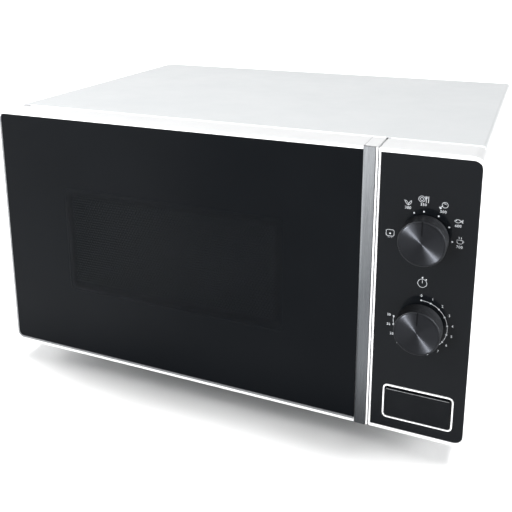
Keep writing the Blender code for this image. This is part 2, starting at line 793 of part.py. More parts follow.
def build_panel():
    """The white housing, the black fascia in it and the white ring round the button."""
    outer_radius = 0.0092
    housing = rounded_rectangle(PANEL_X, FRAME_Z, (0.0010, outer_radius, outer_radius, 0.0010), 5)
    pocket_x = grown(FASCIA_X, GAP)
    pocket_z = grown(FASCIA_Z, GAP)
    fascia_radius = 0.0067
    pocket = rounded_rectangle(pocket_x, pocket_z, (0.0003, fascia_radius, fascia_radius, 0.0003), 5)
    rear_tray = rounded_rectangle(
        grown(PANEL_X, -0.0022), grown(FRAME_Z, -0.0024), (0.0005, 0.0068, 0.0068, 0.0005), 5
    )
    bezel_hole_x = grown(BEZEL_X, GAP)
    bezel_hole_z = grown(BEZEL_Z, GAP)
    bezel_hole = rounded_rectangle(bezel_hole_x, bezel_hole_z, (0.0043,) * 4, 3)
    through = depths(-0.01, 0.012)
    make_node(
        "control_panel_housing",
        shape(prism(housing, "Y", depths(LIP, 0.0310))),
        "white_plastic",
        [
            cut(prism(pocket, "Y", depths(-0.01, PANEL_WEB[0]))),
            cut(prism(rear_tray, "Y", depths(PANEL_WEB[1], 0.05))),
            cut(
                cylinder(POWER_DIAL, 0.0050, "Y", through),
                cylinder(TIMER_DIAL, 0.0050, "Y", through),
                prism(bezel_hole, "Y", through),
            ),
        ],
    )
    fascia = rounded_rectangle(FASCIA_X, FASCIA_Z, (0.0002, fascia_radius, fascia_radius, 0.0002), 5)
    make_node(
        "control_panel_fascia",
        shape(prism(fascia, "Y", depths(0.0, FASCIA_THICK))),
        "black_glass",
        [
            cut(
                cylinder(POWER_DIAL, 0.0050, "Y", through),
                cylinder(TIMER_DIAL, 0.0050, "Y", through),
                prism(bezel_hole, "Y", through),
            )
        ],
    )
    ring_outer = rounded_rectangle(BEZEL_X, BEZEL_Z, (0.0040,) * 4, 4)
    inner_x = grown(BEZEL_X, -BEZEL_WALL)
    inner_z = grown(BEZEL_Z, -BEZEL_WALL)
    ring_inner = rounded_rectangle(inner_x, inner_z, (0.0025,) * 4, 4)
    ring = shape(frame(ring_outer, ring_inner, "Y", depths(-0.0006, 0.0100)))
    make_node("button_bezel", ring, "white_plastic")


def build_timer():
    """The mechanical unit behind the dials, with blind holes for its two shafts."""
    hole_radius = SHAFT_RADIUS + GAP
    holes = [cylinder(dial, hole_radius, "Y", depths(0.0, 0.0170)) for dial in (POWER_DIAL, TIMER_DIAL)]
    bell = cylinder((0.185, depth(0.028)), 0.0130, "Z", (0.2215, 0.2320), 24)
    make_node(
        "timer_unit",
        shape(box((0.158, 0.212), depths(0.0060, 0.0480), (0.0880, 0.2220))),
        "zinc_steel",
        [join(bell), cut(*holes)],
    )


def build_knobs():
    """Two dials with their shafts. At rest both pointers are at twelve o'clock."""
    for name, dial in (("power", POWER_DIAL), ("timer", TIMER_DIAL)):
        pivot = make_pivot(f"{name}_axis", (dial[0], FRONT, dial[1]))
        face = depth(-KNOB_PROUD)
        foot = depth(-0.0010)
        profile = (
            (0.0, face),
            (KNOB_RADIUS - 0.0010, face),
            (KNOB_RADIUS - 0.0003, face + 0.0007),
            (KNOB_RADIUS, foot),
            (0.0160, foot),
            (0.0155, foot - 0.0090),
            (0.0060, foot - 0.0090),
            (0.0058, foot - 0.0010),
            (SHAFT_RADIUS + GAP, foot - 0.0010),
            (SHAFT_RADIUS + GAP, foot - 0.0115),
            (0.0, foot - 0.0115),
        )
        groove = box(
            around(dial[0], 0.0006),
            (face - 0.001, face + 0.0006),
            (dial[1] + 0.0060, dial[1] + KNOB_RADIUS - 0.0020),
        )
        body = shape(lathe(profile, "Y", dial, 36))
        make_node(f"{name}_knob", body, "black_metal", [cut(groove)], pivot)
        shaft = cylinder(dial, SHAFT_RADIUS, "Y", (foot - 0.0112, depth(0.0160)), 20)
        make_node(f"{name}_shaft", shape(shaft), "zinc_steel", pivot=pivot)


# Door release


def build_release():
    """The push button, and the lever behind it that lifts the latch hooks."""
    face_x = grown(BEZEL_X, -BEZEL_WALL - 0.0006)
    face_z = (BEZEL_Z[0] + BEZEL_WALL + 0.0006, BEZEL_Z[1] - BEZEL_WALL - 0.0016)
    outline = rounded_rectangle(face_x, face_z, (0.0020,) * 4, 3)
    small = rounded_rectangle(grown(face_x, -0.0010), grown(face_z, -0.0010), (0.0012,) * 4, 3)
    pivot = make_pivot("button_axis", (sum(BEZEL_X) / 2, FRONT, sum(BEZEL_Z) / 2))
    loops = (
        on_plane(small, "Y", depth(-0.0018)),
        on_plane(outline, "Y", depth(-0.0008)),
        on_plane(outline, "Y", depth(0.0120)),
    )
    cap = shape(lambda bm: add_loft(bm, loops))
    stem = box(STEM_X, depths(0.0115, STEM_END), STEM_Z)
    make_node("release_button", cap, "black_plastic", [join(stem)], pivot)

    lever_pivot = make_pivot("lever_axis", (0.150, depth(LEVER_DEPTH), LEVER_Z))
    push_arm = box(around(sum(STEM_X) / 2, 0.0025), depths(0.0340, 0.0400), (0.0360, LEVER_Z))
    lift_z = (LEVER_Z - 0.0010, LEVER_Z + 0.0040)
    lift_arm = box((0.1275, 0.1335), depths(LEVER_DEPTH, 0.0560), lift_z)
    make_node(
        "release_lever",
        shape(cylinder((depth(LEVER_DEPTH), LEVER_Z), 0.0032, "X", (0.1240, 0.1840), 20)),
        "white_plastic",
        [join(push_arm, lift_arm)],
        lever_pivot,
    )


def build_interlock():
    """The bracket beside the hooks, with the catch for the upper hook, and two switches."""
    x = (0.1390, 0.1410)
    plate = box(x, depths(PLATE_REAR + GAP, 0.0740), (0.0450, 0.2300))
    foot = box((0.1390, 0.1530), depths(PLATE_REAR + GAP, 0.0350), (0.1250, 0.1650))
    catch = box((0.1265, 0.1395), depths(0.0370, 0.0445), (0.1880, 0.1955))
    bearing = cylinder((depth(LEVER_DEPTH), LEVER_Z), 0.0036, "X", grown(x, 0.01), 20)
    steps = [join(foot, catch), cut(bearing)]
    make_node("interlock_bracket", shape(plate), "white_plastic", steps)
    for name, z in (("primary_switch", (0.192, 0.220)), ("secondary_switch", (0.066, 0.094))):
        body = box((0.1280, 0.1384), depths(0.0575, 0.0735), z)
        middle = sum(z) / 2
        plunger = box((0.1295, 0.1315), depths(0.0540, 0.0580), around(middle, 0.0015))
        terminals = [
            box(around(0.1330, 0.0030), depths(0.0730, 0.0800), around(middle + step, 0.0004))
            for step in (-0.009, 0.0, 0.009)
        ]
        make_node(name, shape(body), "black_plastic", [join(plunger, *terminals)])


# Door


def build_hinges():
    """Two fixed hinge arms, each with its mounting flange and its pin."""
    centre = (HINGE_X, depth(HINGE_DEPTH))
    for name, z in HINGE_HEIGHTS.items():
        span = around(z, HINGE_ARM_HALF)
        arm = box(around(HINGE_X, 0.0025), depths(HINGE_DEPTH, 0.0335), span)
        flange = box((-0.2215, -0.2050), depths(PLATE_REAR + GAP, 0.0341), around(z, 0.0090))
        pin = cylinder(centre, 0.0015, "Z", around(z, 0.0070), 12)
        eye = shape(cylinder(centre, 0.0040, "Z", span, 20))
        make_node(name, eye, "zinc_steel", [join(arm, flange, pin)])


def build_door(pivot):
    """The door, from the front glass and its trim to the choke cover at the back."""
    build_door_frame(pivot)
    radii = (0.0050, 0.0002, 0.0002, 0.0025)
    glass = rounded_rectangle(grown(GLASS_X, -GAP), grown(GLASS_Z, -GAP), radii, 4)
    pane = shape(prism(glass, "Y", depths(0.0, GLASS_THICK)))
    make_node("door_glass", pane, "black_glass", pivot=pivot)

    chamfer = 0.0012
    strip = (
        (STRIP_X[0], depth(GLASS_THICK - 0.0005)),
        (STRIP_X[0], depth(-0.0002)),
        (STRIP_X[0] + chamfer, depth(-0.0010)),
        (STRIP_X[1] - 0.0004, depth(-0.0010)),
        (STRIP_X[1], depth(-0.0006)),
        (STRIP_X[1], depth(GLASS_THICK - 0.0005)),
    )
    make_node("door_trim_strip", shape(prism(strip, "Z", FRAME_Z)), "silver_trim", pivot=pivot)

    build_door_panel(pivot)
    screen = box(grown(WINDOW_X, 0.004), depths(0.0254, 0.0259), grown(WINDOW_Z, 0.004))
    make_node("door_screen", shape(screen), "dark_steel", pivot=pivot)
    film = box((-0.190, 0.098), depths(0.0275, 0.0281), (0.046, 0.233))
    make_node("inner_window", shape(film), "clear_film", pivot=pivot)

    outer = rounded_rectangle((CHOKE_X[0] + 0.0005, 0.1398), (0.0245, 0.2540), (0.004,) * 4, 3)
    inner = rounded_rectangle((-0.1935, 0.1015), (0.0430, 0.2360), (0.004,) * 4, 3)
    slots = []
    for low, high in HOOK_SHANKS_Z:
        slot_z = (low - HOOK_NOSE_DROP - 0.0020, high + HOOK_SLOT_MARGIN)
        slots.append(box((HOOK_SLOT_X[0], HOOK_SLOT_X[1] - 0.0027), depths(0.02, 0.04), slot_z))
    make_node(
        "choke_cover",
        shape(frame(outer, inner, "Y", depths(0.0285, 0.0298))),
        "grey_plastic",
        [cut(*slots)],
        pivot,
    )


def build_door_frame(pivot):
    """The white moulding that holds the glass, the choke panel, the hinges and the latch."""
    body = rounded_rectangle(DOOR_X, FRAME_Z, (0.0072, 0.0008, 0.0008, 0.0045), 5)
    glass_pocket = rounded_rectangle(
        (GLASS_X[0], STRIP_X[1] + GAP), GLASS_Z, (0.0053, 0.0003, 0.0003, 0.0028), 4
    )
    strip_pocket = box((GLASS_X[1], STRIP_X[1] + GAP), depths(-0.01, 0.0033), grown(FRAME_Z, 0.01))
    rear_tray = box((-0.2205, 0.1405), depths(WEB_REAR, 0.05), (0.0225, 0.2560))
    opening = box((-0.196, 0.112), depths(-0.01, 0.02), (0.050, 0.236))
    additions = [
        box((0.1240, 0.1410), depths(0.0055, 0.0220), (0.2450, 0.2480)),
        box((0.1326, 0.1410), depths(0.0055, 0.0200), (0.100, 0.106)),
        box((0.1326, 0.1410), depths(0.0055, 0.0200), (0.160, 0.166)),
    ]
    hollows = []
    for z in HINGE_HEIGHTS.values():
        notch_z = around(z, HINGE_ARM_HALF + 0.0008)
        additions.append(box((-0.2230, -0.2145), depths(0.0050, 0.0140), (z - 0.0100, z + 0.0104)))
        hollows.append(box((-0.2300, -0.2142), depths(0.0043, 0.04), notch_z))
        hollows.append(cylinder((HINGE_X, depth(HINGE_DEPTH)), 0.0018, "Z", around(z, 0.0080), 12))
    make_node(
        "door_frame",
        shape(prism(body, "Y", depths(LIP, DOOR_REAR))),
        "white_plastic",
        [
            cut(prism(glass_pocket, "Y", depths(-0.01, GLASS_THICK + GAP))),
            cut(strip_pocket),
            cut(rear_tray),
            cut(opening),
            join(*additions),
            cut(*hollows),
        ],
        pivot,
    )


def build_door_panel(pivot):
    """The pressed steel panel: a choke channel round a raised plateau with the window in it."""
    sheet = 0.0010
    wall_x = grown(CHOKE_X, -sheet)
    wall_z = grown(CHOKE_Z, -sheet)
    pocket_x = grown(PLATEAU_X, -sheet)
    pocket_z = grown(PLATEAU_Z, -sheet)
    channel_outer = rounded_rectangle(wall_x, wall_z, (0.003,) * 4, 2)
    channel_inner = rounded_rectangle(PLATEAU_X, PLATEAU_Z, (0.006,) * 4, 2)
    front_pocket = rounded_rectangle(pocket_x, pocket_z, (0.005,) * 4, 2)
    window = rounded_rectangle(WINDOW_X, WINDOW_Z, (0.004,) * 4, 2)
    make_node(
        "door_panel",
        shape(box(CHOKE_X, depths(0.0068, 0.0272), CHOKE_Z)),
        "grey_enamel",
        [
            cut(frame(channel_outer, channel_inner, "Y", depths(0.0068 + sheet, 0.05))),
            cut(prism(front_pocket, "Y", depths(-0.01, 0.0262))),
            cut(prism(window, "Y", depths(0.01, 0.05))),
        ],
        pivot,
    )


def build_latch(door_pivot):
    """The hook bar, which slides up in the door, and the spring that brings it back."""
    pivot = make_pivot("latch_axis", (sum(HOOK_X) / 2, depth(SPRING_DEPTH), SPRING_Z[0]))
    bar_front, bar_rear = HOOK_BAR_DEPTHS
    hooks = []
    for low, high in HOOK_SHANKS_Z:
        outline = (
            (depth(bar_rear - 0.001), low),
            (depth(HOOK_TIP_DEPTH - 0.0070), low),
            (depth(HOOK_TIP_DEPTH - 0.0070), low - HOOK_NOSE_DROP),
            (depth(HOOK_TIP_DEPTH - 0.0050), low - HOOK_NOSE_DROP),
            (depth(HOOK_TIP_DEPTH), low),
            (depth(HOOK_TIP_DEPTH), high - 0.0015),
            (depth(HOOK_TIP_DEPTH - 0.0015), high),
            (depth(bar_rear - 0.001), high),
        )
        hooks.append(prism(outline, "X", HOOK_X))
    make_node(
        "latch_hooks",
        shape(box(HOOK_X, depths(bar_front, bar_rear), (0.0620, SPRING_Z[0] - 0.0006))),
        "white_plastic",
        [join(*hooks)],
        pivot,
    )
    coil_centre = (SPRING_CENTRE_X, depth(SPRING_DEPTH))
    profile = [(radius, z) for z in SPRING_Z for radius in (0.0020, 0.0030)]
    loop = (profile[0], profile[1], profile[3], profile[2])
    coil = shape(lathe(loop, "Z", coil_centre, 16, ring=True))
    make_node("latch_spring", coil, "zinc_steel", pivot=door_pivot)


def main():
    """Builds the whole oven."""
    clear_scene()
    make_materials()
    build_outer_cover()
    build_rear_panel()
    build_base_plate()
    build_feet()
    build_front_plate()
    build_cavity_liner()
    build_waveguide()
    build_magnetron()
    build_transformer()
    build_capacitor()
    build_fan()
    build_lamp()
    build_supply()
    build_turntable()
    build_panel()
    build_timer()
    build_knobs()
    build_release()
    build_interlock()
    build_hinges()
    door_pivot = make_pivot("door_hinge_axis", (HINGE_X, depth(HINGE_DEPTH), HEIGHT / 2))
    build_door(door_pivot)
    build_latch(door_pivot)


main()
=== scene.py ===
"""Looks of a countertop microwave oven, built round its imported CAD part.

Metres, +Z up. X runs left to right seen from the front, Y runs from front to back.
Places come from the part's nodes; sizes of the finer details are named below.
"""

import json
from math import atan2, cos, pi, radians, sin, sqrt

import bmesh
import bpy
from mathutils import Matrix, Vector


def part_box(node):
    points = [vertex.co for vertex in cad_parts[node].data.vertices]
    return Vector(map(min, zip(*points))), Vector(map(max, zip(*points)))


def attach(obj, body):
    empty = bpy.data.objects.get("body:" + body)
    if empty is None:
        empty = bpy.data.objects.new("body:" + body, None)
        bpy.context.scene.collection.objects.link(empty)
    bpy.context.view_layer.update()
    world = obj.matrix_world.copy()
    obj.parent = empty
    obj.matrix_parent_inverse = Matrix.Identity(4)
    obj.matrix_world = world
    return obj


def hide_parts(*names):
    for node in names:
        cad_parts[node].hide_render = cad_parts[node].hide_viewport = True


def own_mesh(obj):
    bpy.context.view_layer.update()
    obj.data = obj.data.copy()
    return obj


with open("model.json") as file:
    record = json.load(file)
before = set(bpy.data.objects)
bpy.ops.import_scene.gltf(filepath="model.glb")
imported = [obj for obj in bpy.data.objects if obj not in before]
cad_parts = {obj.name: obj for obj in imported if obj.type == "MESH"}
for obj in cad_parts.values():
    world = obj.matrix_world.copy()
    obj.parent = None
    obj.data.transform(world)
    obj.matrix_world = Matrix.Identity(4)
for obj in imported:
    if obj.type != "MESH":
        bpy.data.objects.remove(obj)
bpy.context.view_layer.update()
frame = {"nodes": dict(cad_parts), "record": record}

GAP = 0.0003
SPACER_HEIGHT = 0.0030
FLOOR_SIZE = 40.0
FLOOR_RIM = 4.6

# Ink on the control panel
INK = 0.00006
LINE = 0.00027
DOT = 0.00066
DIGIT = 0.0021
POWER_DOTS = 0.0206
TIMER_ARC = 0.0212
TIMER_DIGITS = 0.0252
POWER_STOPS = (-92, -26, -5, 27, 59, 92)
MINUTE_TURN = 20.4
TIMER_STOPS = [(n, MINUTE_TURN * n) for n in range(11)] + [(15, 221.5), (20, 240.5), (25, 259.7), (30, 279)]

# Dials
KNURLS = 96
KNURL_DEPTH = 0.00022
CAP_RADIUS = 0.0171
POINTER_WIDTH = 0.0011

# Perforated screen in the door
HOLE_PITCH = 0.0030
HOLE_RADIUS = 0.00105
SCREEN_MARGIN = 0.0040
WINDOW_FADE = 0.0090
WINDOW_COVER = 0.72

# Camera: where it stands and where it looks, from the middle of the front plane on the floor
CAMERA_PLACE = (0.2587, -0.5250, 0.4017)
CAMERA_AIM = (0.0332, 0.0, 0.2619)
CAMERA_ROLL = radians(-0.33)
CAMERA_LENS = 49.8
CAMERA_SHIFT = (0.024, -0.24)


def show(item):
    """Puts an object into the scene."""
    bpy.context.scene.collection.objects.link(item)


def low(node):
    """The lowest corner of a CAD node."""
    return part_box(node)[0]


def high(node):
    """The highest corner of a CAD node."""
    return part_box(node)[1]


def middle(node):
    """The middle of a CAD node's box."""
    return (low(node) + high(node)) / 2


FRONT = low("door_glass").y
FASCIA = low("control_panel_fascia").y


# Materials


class Look:
    """A Principled material that is built up from procedural nodes, in metres."""

    def __init__(self, name, roughness=0.4, **sockets):
        self.material = bpy.data.materials.new(name)
        self.material.use_nodes = True
        self.tree = self.material.node_tree
        self.shader = self.tree.nodes["Principled BSDF"]
        self.shader.inputs["Roughness"].default_value = roughness
        self.height = None
        for socket, value in sockets.items():
            self.shader.inputs[socket.replace("_", " ")].default_value = value

    def add(self, kind, **inputs):
        """Adds a shader node; inputs are values or sockets, by the input's name with _ for a space."""
        node = self.tree.nodes.new(f"ShaderNode{kind}")
        for key, value in inputs.items():
            socket = node.inputs[key.replace("_", " ")]
            if isinstance(value, bpy.types.NodeSocket):
                self.tree.links.new(value, socket)
            else:
                socket.default_value = value
        return node

    def place(self, stretch=(1, 1, 1)):
        """The point on the piece in metres, stretched along its axes."""
        point = self.add("TexCoord").outputs["Object"]
        return self.add("Mapping", Vector=point, Scale=stretch).outputs["Vector"]

    def noise(self, scale, stretch=(1, 1, 1), detail=3.0):
        """Noise with features of 1 / scale metres."""
        node = self.add("TexNoise", Vector=self.place(stretch), Scale=scale, Detail=detail)
        return node.outputs["Fac"]

    def bands(self, period, direction, distortion=0.0, rings=False):
        """Soft stripes across an axis, or rings round it, with a period in metres."""
        scale = pi / 10 / period
        node = self.add("TexWave", Vector=self.place(), Scale=scale, Distortion=distortion)
        node.inputs["Detail"].default_value = 1.0
        node.wave_type = "RINGS" if rings else "BANDS"
        if rings:
            node.rings_direction = direction
        else:
            node.bands_direction = direction
        return node.outputs["Fac"]

    def cells(self, scale):
        """A random value for each cell of 1 / scale metres."""
        node = self.add("TexVoronoi", Vector=self.place(), Scale=scale)
        return node.outputs["Color"]

    def between(self, value, start, end, source=(0.3, 0.7)):
        """A value from start to end, as the source goes over its own range."""
        node = self.add("MapRange", Value=value, To_Min=start, To_Max=end)
        node.inputs["From Min"].default_value, node.inputs["From Max"].default_value = source
        return node.outputs["Result"]

    def mix(self, factor, first, second):
        """A colour between two colours or colour sockets."""
        node = self.add("Mix")
        node.data_type = "RGBA"
        self.tree.links.new(factor, node.inputs[0])
        for slot, value in ((6, first), (7, second)):
            if isinstance(value, bpy.types.NodeSocket):
                self.tree.links.new(value, node.inputs[slot])
            else:
                node.inputs[slot].default_value = (*value, 1)
        return node.outputs[2]

    def multiply(self, first, second):
        """The product of two sockets."""
        node = self.add("Math")
        node.operation = "MULTIPLY"
        self.tree.links.new(first, node.inputs[0])
        self.tree.links.new(second, node.inputs[1])
        return node.outputs["Value"]

    def drive(self, socket, value):
        """Links a value to a socket of the shader."""
        self.tree.links.new(value, self.shader.inputs[socket])

    def colour(self, value):
        """Drives the colour."""
        self.drive("Base Color", value)

    def marks(self, factor, colour):
        """Lays marks of a colour over the colour that is there."""
        base = self.shader.inputs["Base Color"].links[0].from_socket
        self.colour(self.mix(factor, base, colour))

    def roughness(self, value):
        """Drives the roughness."""
        self.drive("Roughness", value)

    def bump(self, value, height):
        """Adds relief of a height in metres on top of what is there."""
        node = self.add("Bump", Height=value, Distance=height, Strength=1.0)
        if self.height:
            self.tree.links.new(self.height, node.inputs["Normal"])
        self.height = node.outputs["Normal"]
        self.drive("Normal", self.height)


def surface(name, dark, light, mottle, rough, grain, stretch=(1, 1, 1), **sockets):
    """A look with mottled colour, uneven gloss and grain as (scale, height) pairs."""
    look = Look(name, **sockets)
    look.colour(look.mix(look.between(look.noise(mottle, stretch), 0, 1), dark, light))
    look.roughness(look.between(look.noise(mottle * 3, stretch), *rough))
    for scale, height in grain:
        look.bump(look.noise(scale, stretch, 2.0), height)
    return look


def white_enamel():
    """Powder-coated steel with a fine orange peel."""
    return surface(
        "white_powder_coat", (0.71, 0.73, 0.74), (0.74, 0.757, 0.766), 18, (0.30, 0.40),
        ((620, 0.000018), (2300, 0.000005)), Specular_IOR_Level=0.2
    )


def white_plastic():
    """Moulded plastic with a fine spark-eroded texture."""
    return surface(
        "white_moulding", (0.80, 0.805, 0.81), (0.84, 0.845, 0.85), 25, (0.34, 0.44),
        ((1500, 0.000010), (4200, 0.000004)), Specular_IOR_Level=0.4
    )


def black_glass():
    """Opaque black glass of the control panel, with faint wiping marks."""
    return surface(
        "panel_glass", (0.0040, 0.0048, 0.0060), (0.0050, 0.0059, 0.0072), 12, (0.08, 0.15),
        ((8, 0.00002),), Specular_IOR_Level=0.073
    )


def door_glass():
    """Black glass whose printed border leaves a tinted window in front of the screen."""
    look = Look("door_glass", 0.06, Specular_IOR_Level=0.037)
    border = look.mix(look.between(look.noise(12), 0, 1), (0.0024, 0.0031, 0.0041), (0.0030, 0.0038, 0.0049))
    tint = look.mix(look.between(look.noise(12), 0, 1), (0.0032, 0.0039, 0.0050), (0.0039, 0.0047, 0.0058))
    start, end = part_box("door_screen")
    point = look.add("TexCoord").outputs["Object"]
    axes = look.add("SeparateXYZ", Vector=point).outputs
    inside = None
    for axis, near, far in (("X", start.x + 0.016, end.x), ("Z", start.z + 0.008, end.z - 0.006)):
        for edge, inward in ((near, 1), (far, -1)):
            begin = edge + inward * SCREEN_MARGIN
            step = look.between(axes[axis], 0, 1, (begin, begin + inward * WINDOW_FADE))
            inside = look.multiply(inside, step) if inside else step
    look.colour(look.mix(inside, border, tint))
    look.roughness(look.between(look.noise(30), 0.05, 0.10))
    look.bump(look.noise(6), 0.00003)
    look.drive("Alpha", look.between(inside, 1.0, WINDOW_COVER, (0, 1)))
    return look


def black_plastic():
    """Satin black moulding."""
    return surface(
        "black_moulding", (0.0034, 0.0041, 0.0051), (0.0052, 0.0060, 0.0072), 60, (0.30, 0.42),
        ((1400, 0.000012), (4500, 0.000005)), Specular_IOR_Level=0.055
    )


def black_metal():
    """Black anodised metal with fine turning marks, for the knurled skirt of a dial."""
    return surface(
        "black_anodised", (0.012, 0.013, 0.015), (0.020, 0.021, 0.023), 300, (0.30, 0.44),
        ((2500, 0.000004),), (1, 8, 1), Metallic=0.9
    )


def spun_metal():
    """Spun black metal: round scratches that stretch highlights outwards from the middle."""
    look = Look("spun_black_metal", 0.38, Metallic=1.0, Anisotropic=1.0, Anisotropic_Rotation=0.25)
    scratches = look.bands(0.00021, "Y", 6.0, rings=True)
    look.colour(look.mix(look.between(scratches, 0, 1, (0, 1)), (0.014, 0.015, 0.017), (0.022, 0.023, 0.026)))
    look.roughness(look.between(look.noise(500), 0.34, 0.42))
    look.bump(scratches, 0.0000012)
    tangent = look.add("Tangent")
    tangent.direction_type = "RADIAL"
    tangent.axis = "Y"
    look.drive("Tangent", tangent.outputs["Tangent"])
    return look


def silver_trim():
    """Aluminium strip brushed along its length, with painted shade: its colour darkens towards its foot,
    standing in for the reflection of the shaded floor.
    """
    look = Look("brushed_aluminium_painted_shade", 0.3, Metallic=1.0, Anisotropic=0.4)
    start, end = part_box("door_trim_strip")
    point = look.add("TexCoord").outputs["Object"]
    height = look.add("SeparateXYZ", Vector=point).outputs["Z"]
    # Painted shade: the colour runs from the light tone at the top to the dark tone at the foot, in place of
    # the reflected shade of the floor.
    rise = look.between(height, 0, 1, (start.z + 0.12, end.z))
    brushing = look.between(look.noise(900, (1, 1, 0.02)), 0, 1)
    dark = look.mix(brushing, (0.083, 0.088, 0.095), (0.101, 0.108, 0.115))
    light = look.mix(brushing, (0.165, 0.172, 0.180), (0.192, 0.199, 0.207))
    look.colour(look.mix(rise, dark, light))
    look.roughness(look.between(look.noise(2500, (1, 1, 0.02)), 0.24, 0.34))
    look.bump(look.noise(3000, (1, 1, 0.02)), 0.000002)
    return look


def zinc_steel():
    """Galvanised sheet with spangles."""
    look = Look("galvanised_steel", 0.4, Metallic=0.95)
    cell = look.cells(170)
    spangle = look.between(cell, 0, 1, (0, 1))
    look.colour(look.mix(spangle, (0.25, 0.26, 0.27), (0.34, 0.35, 0.36)))
    look.roughness(look.between(cell, 0.32, 0.50, (0, 1)))
    look.bump(look.noise(1200), 0.000005)
    return look


def dark_steel():
    """Black-painted steel of the perforated screen."""
    return surface(
        "painted_screen", (0.42, 0.44, 0.47), (0.52, 0.54, 0.57), 90, (0.40, 0.55), ((1800, 0.000008),),
        Metallic=0.2
    )


def grey_enamel():
    """Light grey enamel of the cavity, with fine darker specks."""
    look = surface(
        "grey_cavity_enamel", (0.40, 0.41, 0.42), (0.46, 0.47, 0.48), 25, (0.28, 0.40),
        ((700, 0.000016),)
    )
    speck = look.between(look.noise(1700, detail=1.0), 0, 1, (0.66, 0.70))
    look.marks(speck, (0.16, 0.165, 0.17))
    return look


def clear_film():
    """Clear plastic sheet."""
    return surface(
        "clear_film", (0.50, 0.53, 0.55), (0.58, 0.61, 0.63), 40, (0.10, 0.22), ((60, 0.00002),),
        Alpha=0.22
    )


def tray_glass():
    """Clear pressed glass, faintly green."""
    return surface(
        "tray_glass", (0.82, 0.90, 0.88), (0.88, 0.95, 0.93), 15, (0.02, 0.06), ((120, 0.00002),),
        Transmission_Weight=1.0, IOR=1.5
    )


def grey_plastic():
    """Grey moulding."""
    return surface(
        "grey_moulding", (0.24, 0.245, 0.25), (0.30, 0.305, 0.31), 50, (0.42, 0.55), ((1500, 0.000012),)
    )


def mica():
    """Mica board with pressed flakes."""
    look = surface(
        "mica_board", (0.42, 0.36, 0.27), (0.60, 0.54, 0.43), 60, (0.40, 0.65), ((500, 0.00003),)
    )
    look.marks(look.between(look.cells(260), 0, 0.5, (0.4, 1)), (0.72, 0.66, 0.55))
    return look


def copper():
    """Layers of enamelled copper wire."""
    look = Look("enamelled_wire", 0.3, Metallic=0.85)
    turns = look.bands(0.0011, "Z")
    look.colour(look.mix(turns, (0.22, 0.07, 0.025), (0.62, 0.27, 0.12)))
    look.roughness(look.between(look.noise(300), 0.25, 0.45))
    look.bump(turns, 0.0004)
    return look


def lamination():
    """A stack of thin steel sheets."""
    look = Look("laminated_steel", 0.5, Metallic=0.7)
    sheets = look.bands(0.0010, "Y")
    look.colour(look.mix(sheets, (0.07, 0.065, 0.065), (0.19, 0.18, 0.175)))
    look.roughness(look.between(look.noise(150), 0.42, 0.62))
    look.bump(sheets, 0.00008)
    return look


def aluminium():
    """Plain aluminium."""
    return surface(
        "mill_aluminium", (0.55, 0.56, 0.57), (0.66, 0.67, 0.68), 80, (0.26, 0.40), ((900, 0.000005),),
        (1, 1, 0.1), Metallic=1.0
    )


def board():
    """Circuit board with lacquered copper tracks."""
    look = surface(
        "circuit_board", (0.02, 0.10, 0.035), (0.03, 0.14, 0.05), 90, (0.30, 0.45), ((900, 0.00001),)
    )
    tracks = look.between(look.bands(0.0040, "X", 3.0), 0, 1, (0.80, 0.86))
    look.marks(tracks, (0.10, 0.24, 0.07))
    look.bump(tracks, 0.00003)
    return look


def rubber():
    """Black rubber."""
    return surface(
        "black_rubber", (0.018, 0.018, 0.019), (0.032, 0.032, 0.034), 120, (0.65, 0.85),
        ((1600, 0.00003),)
    )


def white_ink():
    """Screen-printed white ink."""
    return surface(
        "white_ink", (0.50, 0.52, 0.55), (0.62, 0.64, 0.67), 900, (0.45, 0.60), ((4000, 0.000004),)
    )


def glass_edge():
    """Grey of painted shade, for the band where the frame's inner wall round the door glass lies in shade."""
    return surface(
        "painted_recess_shade", (0.120, 0.125, 0.130), (0.160, 0.165, 0.170), 300, (0.30, 0.45),
        ((2500, 0.000006),)
    )


def button_edge():
    """Light grey for a painted highlight along the top edge of the release button."""
    return surface(
        "painted_button_highlight", (0.16, 0.165, 0.17), (0.24, 0.245, 0.25), 700, (0.25, 0.40), ((2500, 0.000006),)
    )


def screw_zinc():
    """Bright zinc plating of a screw."""
    return surface(
        "screw_zinc", (0.50, 0.51, 0.53), (0.64, 0.65, 0.66), 500, (0.24, 0.38), ((2500, 0.000006),),
        Metallic=1.0
    )


MAKERS = (
    white_enamel, white_plastic, black_glass, black_plastic, black_metal, silver_trim,
    zinc_steel, dark_steel, grey_enamel, clear_film, tray_glass, grey_plastic, mica, copper,
    lamination, aluminium, board, rubber,
    door_glass, spun_metal, white_ink, screw_zinc, glass_edge, button_edge,
)
LOOKS = {make.__name__: make() for make in MAKERS}


# Mesh helpers


def new_piece(name, bm, look, body, slot=None, origin=(0, 0, 0), smooth=35):
    """Turns a bmesh, in metres from the origin, into a piece; the slot argument is not used."""
    slot = slot or look
    bmesh.ops.recalc_face_normals(bm, faces=bm.faces)
    mesh = bpy.data.meshes.new(name)
    bm.to_mesh(mesh)
    bm.free()
    mesh.materials.append(LOOKS[look].material)
    mesh.shade_smooth()
    mesh.set_sharp_from_angle(angle=radians(smooth))
    piece = bpy.data.objects.new(name, mesh)
    piece.location = origin
    show(piece)
    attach(piece, body)
    return piece


def evaluated(item):
    """A new mesh of an object with its modifiers applied."""
    bpy.context.view_layer.update()
    depsgraph = bpy.context.evaluated_depsgraph_get()
    return bpy.data.meshes.new_from_object(item.evaluated_get(depsgraph), depsgraph=depsgraph)


